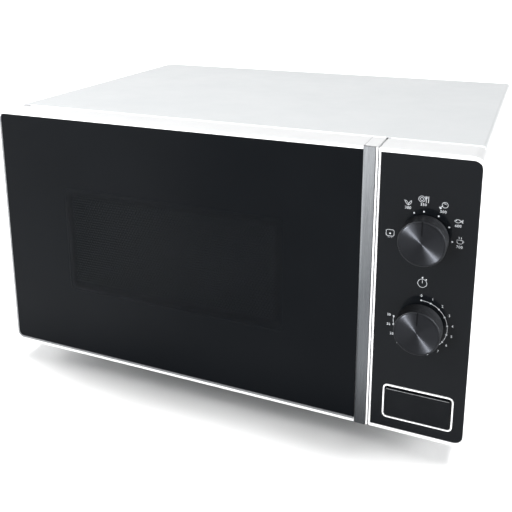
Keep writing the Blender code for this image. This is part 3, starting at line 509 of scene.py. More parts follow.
def carve(piece, bm, operation="DIFFERENCE"):
    """Cuts a closed bmesh, in the piece's own space, out of it, or joins it on."""
    bmesh.ops.recalc_face_normals(bm, faces=bm.faces)
    mesh = bpy.data.meshes.new("tool")
    bm.to_mesh(mesh)
    bm.free()
    tool = bpy.data.objects.new("tool", mesh)
    tool.matrix_world = piece.matrix_world
    show(tool)
    modifier = piece.modifiers.new("carve", "BOOLEAN")
    modifier.operation = operation
    modifier.object = tool
    modifier.use_self = True
    settled = evaluated(piece)
    piece.modifiers.clear()
    settled.materials.clear()
    settled.materials.append(piece.data.materials[0])
    settled.shade_smooth()
    settled.set_sharp_from_angle(angle=radians(35))
    piece.data = settled
    bpy.data.objects.remove(tool)


def skin(bm, loops, ring=False, capped=True):
    """Joins loops of equal length with faces."""
    rows = [[bm.verts.new(point) for point in loop] for loop in loops]
    pairs = list(zip(rows, rows[1:]))
    if ring:
        pairs.append((rows[-1], rows[0]))
    elif capped:
        bm.faces.new(rows[0])
        bm.faces.new(rows[-1])
    for first, second in pairs:
        for i in range(len(first)):
            j = (i + 1) % len(first)
            bm.faces.new((first[i], first[j], second[j], second[i]))
    return rows


def lathe(bm, profile, axis, centre=(0, 0), count=64, ring=False, wave=None):
    """A turned body from (radius, level) points round an axis; wave changes a radius by turn."""
    rows = []
    for number, (radius, level) in enumerate(profile):
        points = []
        for i in range(count if radius > 0 else 1):
            turn = 2 * pi * i / count
            reach = radius + (wave(number, i) if wave else 0)
            a, b = centre[0] + reach * cos(turn), centre[1] + reach * sin(turn)
            points.append({"X": (level, a, b), "Y": (a, level, b), "Z": (a, b, level)}[axis])
        rows.append([bm.verts.new(point) for point in points])
    pairs = list(zip(rows, rows[1:]))
    if ring:
        pairs.append((rows[-1], rows[0]))
    for first, second in pairs:
        for i in range(count):
            j = i + 1
            near = (first[i % len(first)], first[j % len(first)])
            far = (second[j % len(second)], second[i % len(second)])
            bm.faces.new(list(dict.fromkeys(near + far)))


def prism(bm, outline, levels, axis="Y"):
    """A flat outline drawn out along an axis between two levels."""
    place = {"X": (2, 0, 1), "Y": (0, 2, 1), "Z": (0, 1, 2)}[axis]
    skin(bm, [[[(a, b, level)[k] for k in place] for a, b in outline] for level in levels])


def block(bm, x, y, z):
    """A box between three spans."""
    prism(bm, ((x[0], y[0]), (x[1], y[0]), (x[1], y[1]), (x[0], y[1])), z, "Z")


def rounded(a, b, radius, steps=6):
    """Outline of a rectangle with round corners."""
    points = []
    corners = ((a[0], b[0], 1, 1), (a[1], b[0], -1, 1), (a[1], b[1], -1, -1), (a[0], b[1], 1, -1))
    for corner, (x, y, inward_x, inward_y) in enumerate(corners):
        for step in range(steps + 1):
            turn = pi * (1 + corner / 2) + pi / 2 * step / steps
            across, up = inward_x + cos(turn), inward_y + sin(turn)
            points.append((x + radius * across, y + radius * up))
    return points


def circle(centre, radius, count):
    """Points round a centre."""
    turns = [2 * pi * i / count for i in range(count)]
    return [(centre[0] + radius * cos(t), centre[1] + radius * sin(t)) for t in turns]


def grown(span, margin):
    """A span made longer by a margin at both ends."""
    return (span[0] - margin, span[1] + margin)


# CAD nodes: their own shape, with finished edges and materials


def edge_shading():
    """A node group that shades faces smooth and keeps edges over an angle sharp."""
    group = bpy.data.node_groups.new("edge_shading", "GeometryNodeTree")
    group.interface.new_socket("Geometry", in_out="INPUT", socket_type="NodeSocketGeometry")
    group.interface.new_socket("Geometry", in_out="OUTPUT", socket_type="NodeSocketGeometry")
    nodes, links = group.nodes, group.links
    start = nodes.new("NodeGroupInput")
    end = nodes.new("NodeGroupOutput")
    forget = nodes.new("GeometryNodeRemoveAttribute")
    forget.inputs["Name"].default_value = "custom_normal"
    faces, edges = (nodes.new("GeometryNodeSetShadeSmooth") for _ in range(2))
    faces.domain, edges.domain = "FACE", "EDGE"
    angle = nodes.new("GeometryNodeInputMeshEdgeAngle")
    flat = nodes.new("FunctionNodeCompare")
    flat.operation = "LESS_THAN"
    flat.inputs[1].default_value = radians(38)
    links.new(angle.outputs["Unsigned Angle"], flat.inputs[0])
    links.new(start.outputs[0], forget.inputs["Geometry"])
    links.new(forget.outputs["Geometry"], faces.inputs["Geometry"])
    links.new(faces.outputs["Geometry"], edges.inputs["Geometry"])
    links.new(flat.outputs["Result"], edges.inputs["Shade Smooth"])
    links.new(edges.outputs["Geometry"], end.inputs[0])
    return group


EDGE_WIDTHS = {
    "outer_cover": 0.00025, "door_frame": 0.0004, "control_panel_housing": 0.0004,
    "button_bezel": 0.0003, "release_button": 0.0004, "door_trim_strip": 0.00025,
    "door_glass": 0.0002, "control_panel_fascia": 0.00015,
}


def finish_cad_nodes():
    """Gives each CAD node its material and a fine round on its edges."""
    shading = edge_shading()
    slots = {row["node"]: row["material_slot"] for row in frame["record"]["subparts"]}
    for name, item in frame["nodes"].items():
        look = LOOKS["door_glass" if name == "door_glass" else slots[name]]
        item.data.materials.clear()
        item.data.materials.append(look.material)
        weld = item.modifiers.new("weld", "WELD")
        weld.merge_threshold = 0.000002
        flatten = item.modifiers.new("flatten", "DECIMATE")
        flatten.decimate_type = "DISSOLVE"
        flatten.angle_limit = radians(0.5)
        edge = item.modifiers.new("edge", "BEVEL")
        edge.width = EDGE_WIDTHS.get(name, 0.0002)
        edge.segments = 2
        edge.limit_method = "ANGLE"
        edge.angle_limit = radians(40)
        edge.use_clamp_overlap = name not in EDGE_WIDTHS
        item.modifiers.new("shading", "NODES").node_group = shading
        even = item.modifiers.new("even", "WEIGHTED_NORMAL")
        even.keep_sharp = True


# Dials


def round_by_turn(centre, radius, degrees):
    """A point (x, z) at a clockwise turn from twelve o'clock, seen from the front."""
    turn = radians(degrees)
    return (centre.x + radius * sin(turn), centre.z + radius * cos(turn))


def build_dial(name):
    """A knurled skirt and a spun cap with a pointer groove, in place of one CAD knob."""
    node = f"{name}_knob"
    start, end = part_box(node)
    centre = middle(node)
    radius = (end.x - start.x) / 2
    face, foot = start.y - centre.y, end.y - centre.y
    body = f"{name}_dial"

    rim = face + 0.0004
    skirt = [
        (0.0158, foot), (radius - 0.0005, foot), (radius, foot - 0.0004), (radius, foot - 0.0012),
        (radius, foot - 0.0016), (radius, face + 0.0030), (radius, face + 0.0026),
        (radius, face + 0.0008), (radius - 0.0002, face + 0.0003), (radius - 0.0006, face + 0.0001),
        (CAP_RADIUS + 0.00012, face + 0.0001), (CAP_RADIUS + 0.00012, rim + 0.0008),
        (0.0158, rim + 0.0012),
    ]
    knurled = (4, 5)

    def knurl(row, step):
        return -KNURL_DEPTH * (0, 0.75, 1, 0.75)[step % 4] if row in knurled else 0

    bm = bmesh.new()
    lathe(bm, skirt, "Y", count=KNURLS * 4, ring=True, wave=knurl)
    wall = new_piece(f"{name}_dial_skirt", bm, "black_metal", body, origin=centre)

    bm = bmesh.new()
    cap = [
        (0.0, face + 0.00040), (0.0012, face + 0.00036), (0.0060, face + 0.00030),
        (0.0120, face + 0.00016), (0.0158, face + 0.00004), (0.0166, face),
        (CAP_RADIUS - 0.0001, face + 0.00010), (CAP_RADIUS, face + 0.00030),
        (CAP_RADIUS, rim + 0.0006), (0.0, rim + 0.0006),
    ]
    lathe(bm, cap, "Y", count=192)
    disc = new_piece(f"{name}_dial_cap", bm, "spun_metal", body, "black_metal", centre)

    for piece in (disc, wall):
        bm = bmesh.new()
        half = POINTER_WIDTH / 2
        outline = [(half, radius + 0.001), (-half, radius + 0.001)]
        for step in range(9):
            turn = pi * (1 + step / 8)
            outline.append((half * cos(turn), 0.0072 + half * sin(turn)))
        prism(bm, outline, (face - 0.001, face + 0.00075))
        carve(piece, bm)

    bm = bmesh.new()
    outline = rounded((-half + 0.0001, half - 0.0001), (0.0072, radius - 0.0004), 0.0003)
    prism(bm, outline, (face + 0.00066, face + 0.00074))
    new_piece(f"{name}_dial_pointer", bm, "black_plastic", body, origin=centre)

    bm = bmesh.new()
    boss = [
        (0.0033, foot - 0.0008), (0.0056, foot - 0.0008), (0.0058, foot - 0.0014),
        (0.0058, rim + 0.0014), (0.0154, rim + 0.0014), (0.0154, rim + 0.0009),
        (0.0033, rim + 0.0009),
    ]
    lathe(bm, boss, "Y", count=48, ring=True)
    new_piece(f"{name}_dial_boss", bm, "black_plastic", body, origin=centre)
    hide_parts(node)
    return disc, wall


# Ink


class Ink:
    """Flat shapes on the control panel, collected in one mesh."""

    def __init__(self):
        self.bm = bmesh.new()
        self.levels = (FASCIA - INK, FASCIA - INK * 0.1)

    def area(self, points):
        """A filled outline of (x, z) points."""
        prism(self.bm, points, self.levels)

    def dot(self, centre, radius=DOT, count=20):
        """A filled circle."""
        self.area(circle(centre, radius, count))

    def line(self, points, width=LINE, closed=False):
        """A ribbon along (x, z) points."""
        points = [Vector(point) for point in points]
        count = len(points)
        sides = []
        for i, point in enumerate(points):
            before = points[i - 1] if closed or i > 0 else point
            after = points[(i + 1) % count] if closed or i < count - 1 else point
            along = (after - before).normalized()
            across = Vector((-along.y, along.x)) * width / 2
            sides.append((point + across, point - across))
        front, back = self.levels
        loops = [[(a.x, front, a.y), (b.x, front, b.y), (b.x, back, b.y), (a.x, back, a.y)] for a, b in sides]
        skin(self.bm, loops, ring=closed)

    def arc(self, centre, radius, start, end, width=LINE, step=3.0):
        """A ribbon round a centre, between two clockwise turns in degrees."""
        count = max(2, round(abs(end - start) / step))
        turns = [start + (end - start) * i / count for i in range(count + 1)]
        self.line([round_by_turn(centre, radius, turn) for turn in turns], width)

    def ring(self, centre, radius, width=LINE, count=32):
        """A circle drawn as a line."""
        self.line(circle(centre, radius, count), width, closed=True)

    def number(self, value, centre, height=DIGIT):
        """A number, centred on a point."""
        curve = bpy.data.curves.new("number", "FONT")
        curve.body = str(value)
        curve.size = height / 0.7
        curve.space_character = 1.12
        curve.align_x = "CENTER"
        curve.align_y = "CENTER"
        curve.extrude = INK * 0.45
        curve.resolution_u = 4
        item = bpy.data.objects.new("number", curve)
        show(item)
        mesh = evaluated(item)
        middle_y = sum(self.levels) / 2
        place = Matrix.Translation((centre[0], middle_y, centre[1])) @ Matrix.Rotation(pi / 2, 4, "X")
        mesh.transform(place)
        self.bm.from_mesh(mesh)
        bpy.data.meshes.remove(mesh)
        bpy.data.objects.remove(item)

    def piece(self, name):
        """Ends the drawing."""
        return new_piece(name, self.bm, "white_ink", "root", "white_plastic")


def moved(centre, points):
    """Points in millimetres round a centre, in metres."""
    return [(centre[0] + 0.001 * x, centre[1] + 0.001 * z) for x, z in points]


def curve_points(start, control, end, steps=8):
    """Points of a smooth curve that leaves start and ends at end, pulled to control."""
    points = []
    for i in range(steps + 1):
        t = i / steps
        a, b, c = (1 - t) ** 2, 2 * t * (1 - t), t * t
        points.append(tuple(a * start[k] + b * control[k] + c * end[k] for k in (0, 1)))
    return points


def bend(ink, centre, start, control, end, width=LINE):
    """Draws a smooth curve, in millimetres round a centre."""
    ink.line(moved(centre, curve_points(start, control, end)), width)


def draw_thaw(ink, centre):
    """A block with melting drops under it, round the dot of the lowest power."""
    outline = rounded((-3.1, 3.1), (-2.6, 2.6), 1.2)
    ink.line(moved(centre, outline), closed=True)
    for x in (-1.4, 0.0, 1.4):
        ink.line(moved(centre, [(x, -3.3), (x, -3.9)]), LINE * 1.2)


def draw_sprout(ink, centre):
    """Two leaves on a stalk, for vegetables."""
    bend(ink, centre, (-2.9, 2.0), (-1.4, -1.0), (0.2, -1.8))
    bend(ink, centre, (0.2, -1.8), (0.6, 0.8), (2.4, 2.0))
    bend(ink, centre, (-2.9, 2.0), (0.2, 1.4), (0.2, -1.8))
    bend(ink, centre, (2.4, 2.0), (2.8, -0.6), (0.2, -1.8))


def draw_plate(ink, centre):
    """A plate with a fork and a knife."""
    x, z = centre
    ink.ring((x - 0.0014, z), 0.0024)
    ink.ring((x - 0.0014, z), 0.0012)
    ink.line(moved(centre, [(1.9, 2.4), (1.9, -2.6)]), LINE * 1.2)
    ink.line(moved(centre, [(1.3, 2.4), (1.3, 0.9), (1.9, 0.4), (2.5, 0.9), (2.5, 2.4)]))
    ink.line(moved(centre, [(3.6, 2.5), (3.6, -2.6)]), LINE * 1.4)


def draw_drumstick(ink, centre):
    """A leg of chicken."""
    x, z = centre
    ink.ring((x + 0.0010, z + 0.0008), 0.0022)
    bend(ink, centre, (-0.6, 0.2), (-1.2, -0.6), (-2.2, -1.6), LINE * 1.6)
    ink.dot((x - 0.0026, z - 0.0015), 0.0006)
    ink.dot((x - 0.0021, z - 0.0021), 0.0006)
    bend(ink, centre, (0.2, 1.8), (1.2, 2.0), (1.8, 1.2))


def draw_fish(ink, centre):
    """A fish."""
    bend(ink, centre, (-2.8, 0.0), (-0.4, 2.6), (2.0, 0.0))
    bend(ink, centre, (-2.8, 0.0), (-0.4, -2.6), (2.0, 0.0))
    ink.line(moved(centre, [(2.0, 0.0), (3.4, 1.3)]))
    ink.line(moved(centre, [(2.0, 0.0), (3.4, -1.3)]))
    ink.line(moved(centre, [(3.4, 1.3), (3.0, 0.0), (3.4, -1.3)]))
    ink.dot(moved(centre, [(-1.5, 0.4)])[0], 0.0003)


def draw_cup(ink, centre):
    """A steaming cup."""
    bowl = [(-2.2, 0.7), (-2.1, -0.8), (-1.3, -2.2), (1.3, -2.2), (2.1, -0.8), (2.2, 0.7)]
    ink.line(moved(centre, bowl), closed=True)
    bend(ink, centre, (2.1, 0.3), (3.9, -0.3), (1.9, -1.4))
    bend(ink, centre, (-0.9, 1.5), (-0.1, 2.4), (-0.9, 3.3))
    bend(ink, centre, (0.7, 1.5), (1.5, 2.4), (0.7, 3.3))


def draw_stopwatch(ink, centre):
    """A stopwatch, over the timer's scale."""
    x, z = centre
    ink.ring(centre, 0.0035, LINE, 40)
    ink.line([(x, z + 0.0035), (x, z + 0.0046)], LINE * 1.3)
    ink.dot((x, z + 0.0047), 0.0006)
    ink.dot((x + 0.0029, z + 0.0034), 0.0005)
    ink.line([(x, z + 0.0022), (x, z)], LINE * 1.3)


def build_print():
    """The scales of both dials."""
    ink = Ink()
    power = middle("power_knob")
    icons = (
        (draw_thaw, (-0.0268, -0.0004), None, 0),
        (draw_sprout, (-0.0140, 0.0262), 300, 0.0040),
        (draw_plate, (-0.0024, 0.0305), 350, 0.0045),
        (draw_drumstick, (0.0126, 0.0270), 500, 0.0047),
        (draw_fish, (0.0240, 0.0164), 600, 0.0039),
        (draw_cup, (0.0260, 0.0007), 700, 0.0049),
    )
    for draw, (across, up), watts, drop in icons:
        centre = (power.x + across, power.z + up)
        draw(ink, centre)
        if watts:
            ink.number(watts, (centre[0], centre[1] - drop), DIGIT)
    for turn in POWER_STOPS:
        dial_point = round_by_turn(power, POWER_DOTS if turn > POWER_STOPS[0] else 0.0268, turn)
        ink.dot(dial_point)

    timer = middle("timer_knob")
    draw_stopwatch(ink, (timer.x, timer.z + 0.0359))
    ink.arc(timer, TIMER_ARC, 0, TIMER_STOPS[-1][1])
    for minutes, turn in TIMER_STOPS:
        ink.dot(round_by_turn(timer, TIMER_ARC, turn), DOT * 1.05)
        ink.number(minutes, round_by_turn(timer, TIMER_DIGITS, turn), DIGIT * 0.95)
    ink.piece("panel_print")


# Door details


def build_screen():
    """The perforated sheet in the door: staggered rows of holes in a plain border."""
    (x0, y0, z0), (x1, y1, z1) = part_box("door_screen")
    inner_x = (x0 + SCREEN_MARGIN * 2, x1 - SCREEN_MARGIN * 2)
    inner_z = (z0 + SCREEN_MARGIN * 2, z1 - SCREEN_MARGIN * 2)
    columns = int((inner_x[1] - inner_x[0]) / HOLE_PITCH)
    rows = int((inner_z[1] - inner_z[0]) / (HOLE_PITCH * sqrt(3) / 2))
    pitch_x = (inner_x[1] - inner_x[0]) / columns
    pitch_z = (inner_z[1] - inner_z[0]) / rows
    bm = bmesh.new()
    corners = {}

    def corner(i, row):
        """The lattice point at i half pitches along, at the bottom of a row."""
        if (i, row) not in corners:
            corners[i, row] = bm.verts.new((inner_x[0] + i * pitch_x / 2, y0, inner_z[0] + row * pitch_z))
        return corners[i, row]

    for row in range(rows):
        shift = row % 2
        for column in range(columns - shift):
            i = 2 * column + shift
            outer = [corner(i + step, row) for step in (0, 1, 2)]
            outer += [corner(i + step, row + 1) for step in (2, 1, 0)]
            centre = Vector((inner_x[0] + (i + 1) * pitch_x / 2, y0, inner_z[0] + (row + 0.5) * pitch_z))
            turns = [radians(-150 + 60 * step) for step in range(6)]
            points = [centre + Vector((cos(t), 0, sin(t))) * HOLE_RADIUS for t in turns]
            hole = [bm.verts.new(point) for point in points]
            for a in range(6):
                b = (a + 1) % 6
                bm.faces.new((outer[a], outer[b], hole[b], hole[a]))
        if shift:
            for i in (0, 2 * columns - 1):
                bm.faces.new((corner(i, row), corner(i + 1, row), corner(i + 1, row + 1), corner(i, row + 1)))

    rim = [corner(i, 0) for i in range(2 * columns + 1)]
    rim += [corner(2 * columns, row) for row in range(1, rows + 1)]
    rim += [corner(i, rows) for i in range(2 * columns - 1, -1, -1)]
    rim += [corner(0, row) for row in range(rows - 1, 0, -1)]
    border = []
    for vert in rim:
        x = x0 if vert.co.x - inner_x[0] < 1e-6 else x1 if inner_x[1] - vert.co.x < 1e-6 else vert.co.x
        z = z0 if vert.co.z - inner_z[0] < 1e-6 else z1 if inner_z[1] - vert.co.z < 1e-6 else vert.co.z
        border.append(bm.verts.new((x, y0, z)))
    for a in range(len(rim)):
        b = (a + 1) % len(rim)
        bm.faces.new((rim[a], rim[b], border[b], border[a]))
    piece = new_piece("door_screen_mesh", bm, "dark_steel", "door")
    flat = piece.modifiers.new("thickness", "SOLIDIFY")
    flat.thickness = y1 - y0
    flat.offset = -1.0
    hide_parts("door_screen")


def build_spring():
    """The coil spring that brings the latch hooks back down."""
    start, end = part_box("latch_spring")
    centre = middle("latch_spring")
    wire = 0.00028
    coil = (end.x - start.x) / 2 - wire
    turns = 11
    steps = 20
    section = circle((coil, 0), wire, 8)
    loops = []
    for i in range(turns * steps + 1):
        turn = 2 * pi * i / steps
        height = start.z + wire + (end.z - start.z - 2 * wire) * i / (turns * steps)
        out = Vector((cos(turn), sin(turn), 0))
        point = Vector((centre.x, centre.y, height))
        loops.append([point + out * reach + Vector((0, 0, rise)) for reach, rise in section])
    bm = bmesh.new()
    skin(bm, loops)
    piece = new_piece("latch_coil_spring", bm, "screw_zinc", "door", "zinc_steel")
    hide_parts("latch_spring")
    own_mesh(piece)


def build_trim_strip():
    """The brushed strip beside the door's edge, with a bright chamfer on its left."""
    start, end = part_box("door_trim_strip")
    radius = 0.0004
    section = [
        (start.x, FRONT + 0.0004), (start.x - 0.0002, FRONT - 0.0001), (start.x + 0.0013, start.y),
        (end.x - radius, start.y), (end.x - radius * 0.3, start.y + radius * 0.3),
        (end.x, start.y + radius), (end.x, FRONT + 0.0004),
    ]
    bm = bmesh.new()
    ends = ((start.z, 0.9), (start.z + 0.0003, 1.0), (end.z - 0.0003, 1.0), (end.z, 0.9))
    skin(bm, [[(x, FRONT + (y - FRONT) * share, level) for x, y in section] for level, share in ends])
    strip = new_piece("door_edge_strip", bm, "silver_trim", "door", smooth=20)
    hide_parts("door_trim_strip")


def build_glass_edge():
    """A grey band of painted shade along the left and bottom sides of the door glass, standing in for the
    shaded inner wall of the frame there.
    """
    start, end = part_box("door_glass")
    turns = [pi + pi / 2 * step / 10 for step in range(11)]
    radius = 0.0050
    path = [(start.x, end.z - 0.0028)]
    for turn in turns:
        path.append((start.x + radius + radius * cos(turn), start.z + radius + radius * sin(turn)))
    path.append((end.x, start.z))
    face = low("door_frame").y
    width = 0.0019
    bm = bmesh.new()
    loops = []
    for i, (x, z) in enumerate(path):
        before = Vector(path[max(i - 1, 0)])
        after = Vector(path[min(i + 1, len(path) - 1)])
        along = (after - before).normalized()
        out = Vector((along.y, -along.x))
        near = Vector((x, z))
        far = near + out * width
        front = [(near.x, face - 0.00012, near.y), (far.x, face - 0.00004, far.y)]
        loops.append(front + [(far.x, face + 0.0006, far.y), (near.x, face + 0.0006, near.y)])
    skin(bm, loops)
    new_piece("door_recess_shade_band", bm, "glass_edge", "door", "silver_trim")


# Cavity details


def build_tray():
    """The pressed glass tray, with a stepped foot, a ridged rim and three lugs below."""
    start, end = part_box("glass_tray")
    centre = middle("glass_tray")
    radius = (end.x - start.x) / 2
    base = end.z - 0.0140
    top = base + 0.0045
    profile = [(0.0, base), (0.1030, base)]
    profile += [(0.1030 + 0.0105 * s, base + 0.0035 * s * s) for s in (0.25, 0.5, 0.75, 1.0)]
    profile += [
        (radius - 0.0008, base + 0.0112), (radius, base + 0.0120), (radius, base + 0.0132),
        (radius - 0.0008, end.z), (radius - 0.0024, end.z), (radius - 0.0034, base + 0.0132),
    ]
    for ridge in range(4):
        reach = 0.1165 - 0.0022 * ridge
        level = base + 0.0108 - 0.0015 * ridge
        profile += [(reach, level), (reach - 0.0009, level - 0.0001)]
    profile += [(0.1070, base + 0.0052), (0.1040, top), (0.0, top)]
    bm = bmesh.new()
    lathe(bm, profile, "Z", (centre.x, centre.y), 144)
    tray = new_piece("turntable_tray", bm, "tray_glass", "turntable")
    for i in range(3):
        turn = Matrix.Rotation(2 * pi * i / 3 + pi / 3, 4, "Z")
        bm = bmesh.new()
        outline = rounded((0.0118, 0.0167), (-0.0027, 0.0027), 0.0012)
        prism(bm, outline, (base - 0.0044, base + 0.0012), "Z")
        bmesh.ops.transform(bm, matrix=Matrix.Translation((centre.x, centre.y, 0)) @ turn, verts=bm.verts)
        carve(tray, bm, "UNION")
    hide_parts("glass_tray")


def build_mica():
    """The cover over the microwave port, with round corners and a push-in stud."""
    start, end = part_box("waveguide_cover")
    centre = middle("waveguide_cover")
    bm = bmesh.new()
    outline = rounded((start.y, end.y), (start.z, end.z), 0.006)
    inner = rounded(grown((start.y, end.y), -0.0003), grown((start.z, end.z), -0.0003), 0.0058)
    loops = [
        [(end.x, a, b) for a, b in outline],
        [(start.x + 0.0002, a, b) for a, b in outline],
        [(start.x, a, b) for a, b in inner],
    ]
    skin(bm, loops)
    sheet = new_piece("waveguide_mica", bm, "mica", "root")
    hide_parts("waveguide_cover")
    bm = bmesh.new()
    stud = [
        (0.0, start.x - 0.0012), (0.0026, start.x - 0.0010), (0.0036, start.x - 0.0004),
        (0.0038, start.x - 0.0001), (0.0, start.x - 0.0001),
    ]
    for y in (start.y + 0.008, end.y - 0.008):
        lathe(bm, stud, "X", (y, centre.z), 32)
    new_piece("mica_studs", bm, "white_plastic", "root")


def build_floor_track():
    """The round bead pressed into the cavity's floor outside the roller ring."""
    centre = middle("roller_ring")
    floor = low("roller_wheel_1").z - GAP
    bm = bmesh.new()
    half = 0.0040
    profile = []
    for step in range(13):
        rise = 0.00002 + 0.0009 * sin(pi * step / 12) ** 2
        profile.append((0.0970 + 2 * half * step / 12, floor + rise))
    profile += [(profile[-1][0], floor - 0.0002), (profile[0][0], floor - 0.0002)]
    lathe(bm, profile, "Z", (centre.x, centre.y), 128, ring=True)
    new_piece("cavity_floor_bead", bm, "grey_enamel", "root")


# Casing details


def bead(bm, path, height, half, normal):
    """A rounded pressed bead along a closed path of points on a flat sheet."""
    count = len(path)
    loops = []
    for i, point in enumerate(path):
        along = (path[(i + 1) % count] - path[i - 1]).normalized()
        across = along.cross(normal)
        loop = []
        for step in range(9):
            share = step / 8
            rise = height * sin(pi * share) ** 2
            loop.append(point + across * half * (2 * share - 1) + normal * (rise + 0.00001))
        loop.append(point + across * half - normal * 0.0002)
        loop.append(point - across * half - normal * 0.0002)
        loops.append(loop)
    skin(bm, loops, ring=True)


def build_side_beads():
    """Pressed outlines that stiffen the sides of the casing."""
    start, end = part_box("outer_cover")
    outline = rounded((start.y + 0.084, start.y + 0.134), (start.z + 0.016, end.z - 0.018), 0.010, 8)
    for side, x, normal in (("left", start.x, Vector((-1, 0, 0))), ("right", end.x, Vector((1, 0, 0)))):
        bm = bmesh.new()
        bead(bm, [Vector((x, a, b)) for a, b in outline], 0.0006, 0.0026, normal)
        new_piece(f"side_bead_{side}", bm, "white_enamel", "root")


def build_front_hem():
    """The chamfered lip along the top of the casing, behind the door, in the lighter white of the mouldings:
    a painted highlight along the casing's front edge.
    """
    start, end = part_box("outer_cover")
    door_end = high("door_frame").x
    front = high("door_frame").y + 0.0004
    back = start.y - 0.0001
    section = (
        (front, -0.0016), (front, -0.0009), (back - 0.0002, -0.0001), (back, 0.0), (back, -0.0016),
    )
    bm = bmesh.new()
    ends = (start.x + 0.0115, start.x + 0.0120, door_end - 0.0008, door_end - 0.0003)
    skin(bm, [[(x, y, end.z + lift) for y, lift in section] for x in ends])
    # Painted highlight: the lip takes the moulding white, not the casing's enamel, so it shows as a bright
    # line.
    new_piece("casing_front_lip", bm, "white_plastic", "root", "white_enamel", smooth=20)


def build_panel_seam():
    """A white gasket in the joint between the control panel housing and the casing."""
    start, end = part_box("outer_cover")
    front, back = high("control_panel_housing").y + 0.00003, start.y - 0.00003
    x = (low("control_panel_housing").x + 0.0010, end.x - 0.0003)
    z = (start.z + 0.0010, end.z - 0.0003)
    outer = rounded(x, z, 0.0032)
    inner = rounded(grown(x, -0.0012), grown(z, -0.0012), 0.0020)
    bm = bmesh.new()
    levels = ((outer, front), (outer, back), (inner, back), (inner, front))
    skin(bm, [[(a, level, b) for a, b in outline] for outline, level in levels], ring=True)
    new_piece("panel_rear_gasket", bm, "white_plastic", "root")


def build_door_seam():
    """The seam on top of the door, where the trim strip begins: a thin grey ribbon of painted shade, standing
    in for the shade in the joint.
    """
    end = high("door_frame")
    line_x = low("door_trim_strip").x
    outline = rounded((line_x - 0.00013, line_x + 0.00013), (FRONT + 0.0006, end.y - 0.0006), 0.0001, 3)
    bm = bmesh.new()
    prism(bm, outline, (end.z - 0.0002, end.z + 0.00004), "Z")
    new_piece("door_top_seam", bm, "grey_plastic", "door", "white_plastic")


def build_button_edge():
    """A painted highlight: a thin light grey rod along the top edge of the release button, where its rounded
    edge catches the light.
    """
    start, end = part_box("release_button")
    level = end.z - 0.0004
    face = start.y
    profile = circle((0, 0), 0.00022, 8)
    bm = bmesh.new()
    ends = ((start.x + 0.0012, 0.3), (start.x + 0.0016, 1), (end.x - 0.0016, 1), (end.x - 0.0012, 0.3))
    skin(bm, [[(x, face + 0.0001 + a * share, level + b * share) for a, b in profile] for x, share in ends])
    new_piece("release_button_highlight", bm, "button_edge", "button", "black_plastic")


def screw_mesh(radius=0.0035):
    """A pan-head screw seen from outside, with a cross recess, pointing along +Z."""
    bm = bmesh.new()
    profile = [
        (0.0, 0.0021), (radius * 0.45, 0.0020), (radius * 0.75, 0.0016), (radius * 0.95, 0.0008),
        (radius, 0.0003), (radius, 0.0), (0.0, 0.0),
    ]
    lathe(bm, profile, "Z", count=40)
    item = new_piece("screw_pattern", bm, "screw_zinc", "root", "zinc_steel")
    along, across = (-radius * 0.55, radius * 0.55), (-0.0004, 0.0004)
    for x, y in ((along, across), (across, along)):
        bm = bmesh.new()
        block(bm, x, y, (0.0009, 0.01))
        carve(item, bm)
    mesh = item.data
    bpy.data.objects.remove(item)
    return mesh


def build_rear_screws():
    """Screws that hold the back and the cord gland, each with its recess turned another way."""
    start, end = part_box("rear_panel")
    gland = low("cord_gland")
    face = end.y - SPACER_HEIGHT + 0.00002
    top, foot = end.z - 0.009, start.z + 0.012
    corners = [(x, z) for z in (top, foot) for x in (start.x + 0.010, end.x - 0.010)]
    corners.insert(2, (0.0, top))
    pattern = screw_mesh()
    stand = Vector((0, 1, 0)).to_track_quat("Z", "Y").to_matrix().to_4x4()
    bm = bmesh.new()
    for number, (x, z) in enumerate(corners + [(gland.x - 0.014, gland.z + 0.010)]):
        copy = pattern.copy()
        turn = Matrix.Rotation(0.4 + 0.9 * number, 4, "Z")
        copy.transform(Matrix.Translation((x, face, z)) @ stand @ turn)
        bm.from_mesh(copy)
        bpy.data.meshes.remove(copy)
    new_piece("rear_screws", bm, "screw_zinc", "root", "zinc_steel")


# Stage


def build_floor():
    """A plain pale floor whose far rim rises gently, so it reaches past the horizon in a low view."""
    look = surface("floor", (0.95, 0.95, 0.95), (0.97, 0.97, 0.97), 3, (0.75, 0.85), ((400, 0.00002),))
    bm = bmesh.new()
    bmesh.ops.create_grid(bm, x_segments=8, y_segments=8, size=FLOOR_SIZE)
    for vert in bm.verts:
        if max(abs(vert.co.x), abs(vert.co.y)) > 0.9 * FLOOR_SIZE:
            vert.co.z = FLOOR_RIM
    mesh = bpy.data.meshes.new("floor")
    bm.to_mesh(mesh)
    bm.free()
    mesh.materials.append(look.material)
    floor = bpy.data.objects.new("floor", mesh)
    show(floor)
    return floor


def add_light(name, data, direction, place=(0, 0, 0), only=(), skip=()):
    """Puts a light in place, pointing along a direction, for only some objects or for all but some."""
    light = bpy.data.objects.new(name, data)
    light.location = place
    light.rotation_mode = "QUATERNION"
    light.rotation_quaternion = (-Vector(direction)).to_track_quat("Z", "Y")
    light.visible_camera = False
    show(light)
    if only or skip:
        receivers = bpy.data.collections.new(f"{name}_receivers")
        for item in (*only, *skip):
            receivers.objects.link(item)
        if skip:
            for entry in receivers.collection_objects:
                entry.light_linking.link_state = "EXCLUDE"
        light.light_linking.receiver_collection = receivers
    return light


def soft_box(name, place, aim, size, watts, **receivers):
    """A soft rectangular light."""
    data = bpy.data.lights.new(name, "AREA")
    data.shape = "RECTANGLE"
    data.size, data.size_y = size
    data.energy = watts
    return add_light(name, data, Vector(aim) - Vector(place), place, **receivers)


def soft_sun(name, direction, strength, degrees, **receivers):
    """An even light from one side of the studio."""
    data = bpy.data.lights.new(name, "SUN")
    data.energy = strength
    data.angle = radians(degrees)
    return add_light(name, data, direction, **receivers)


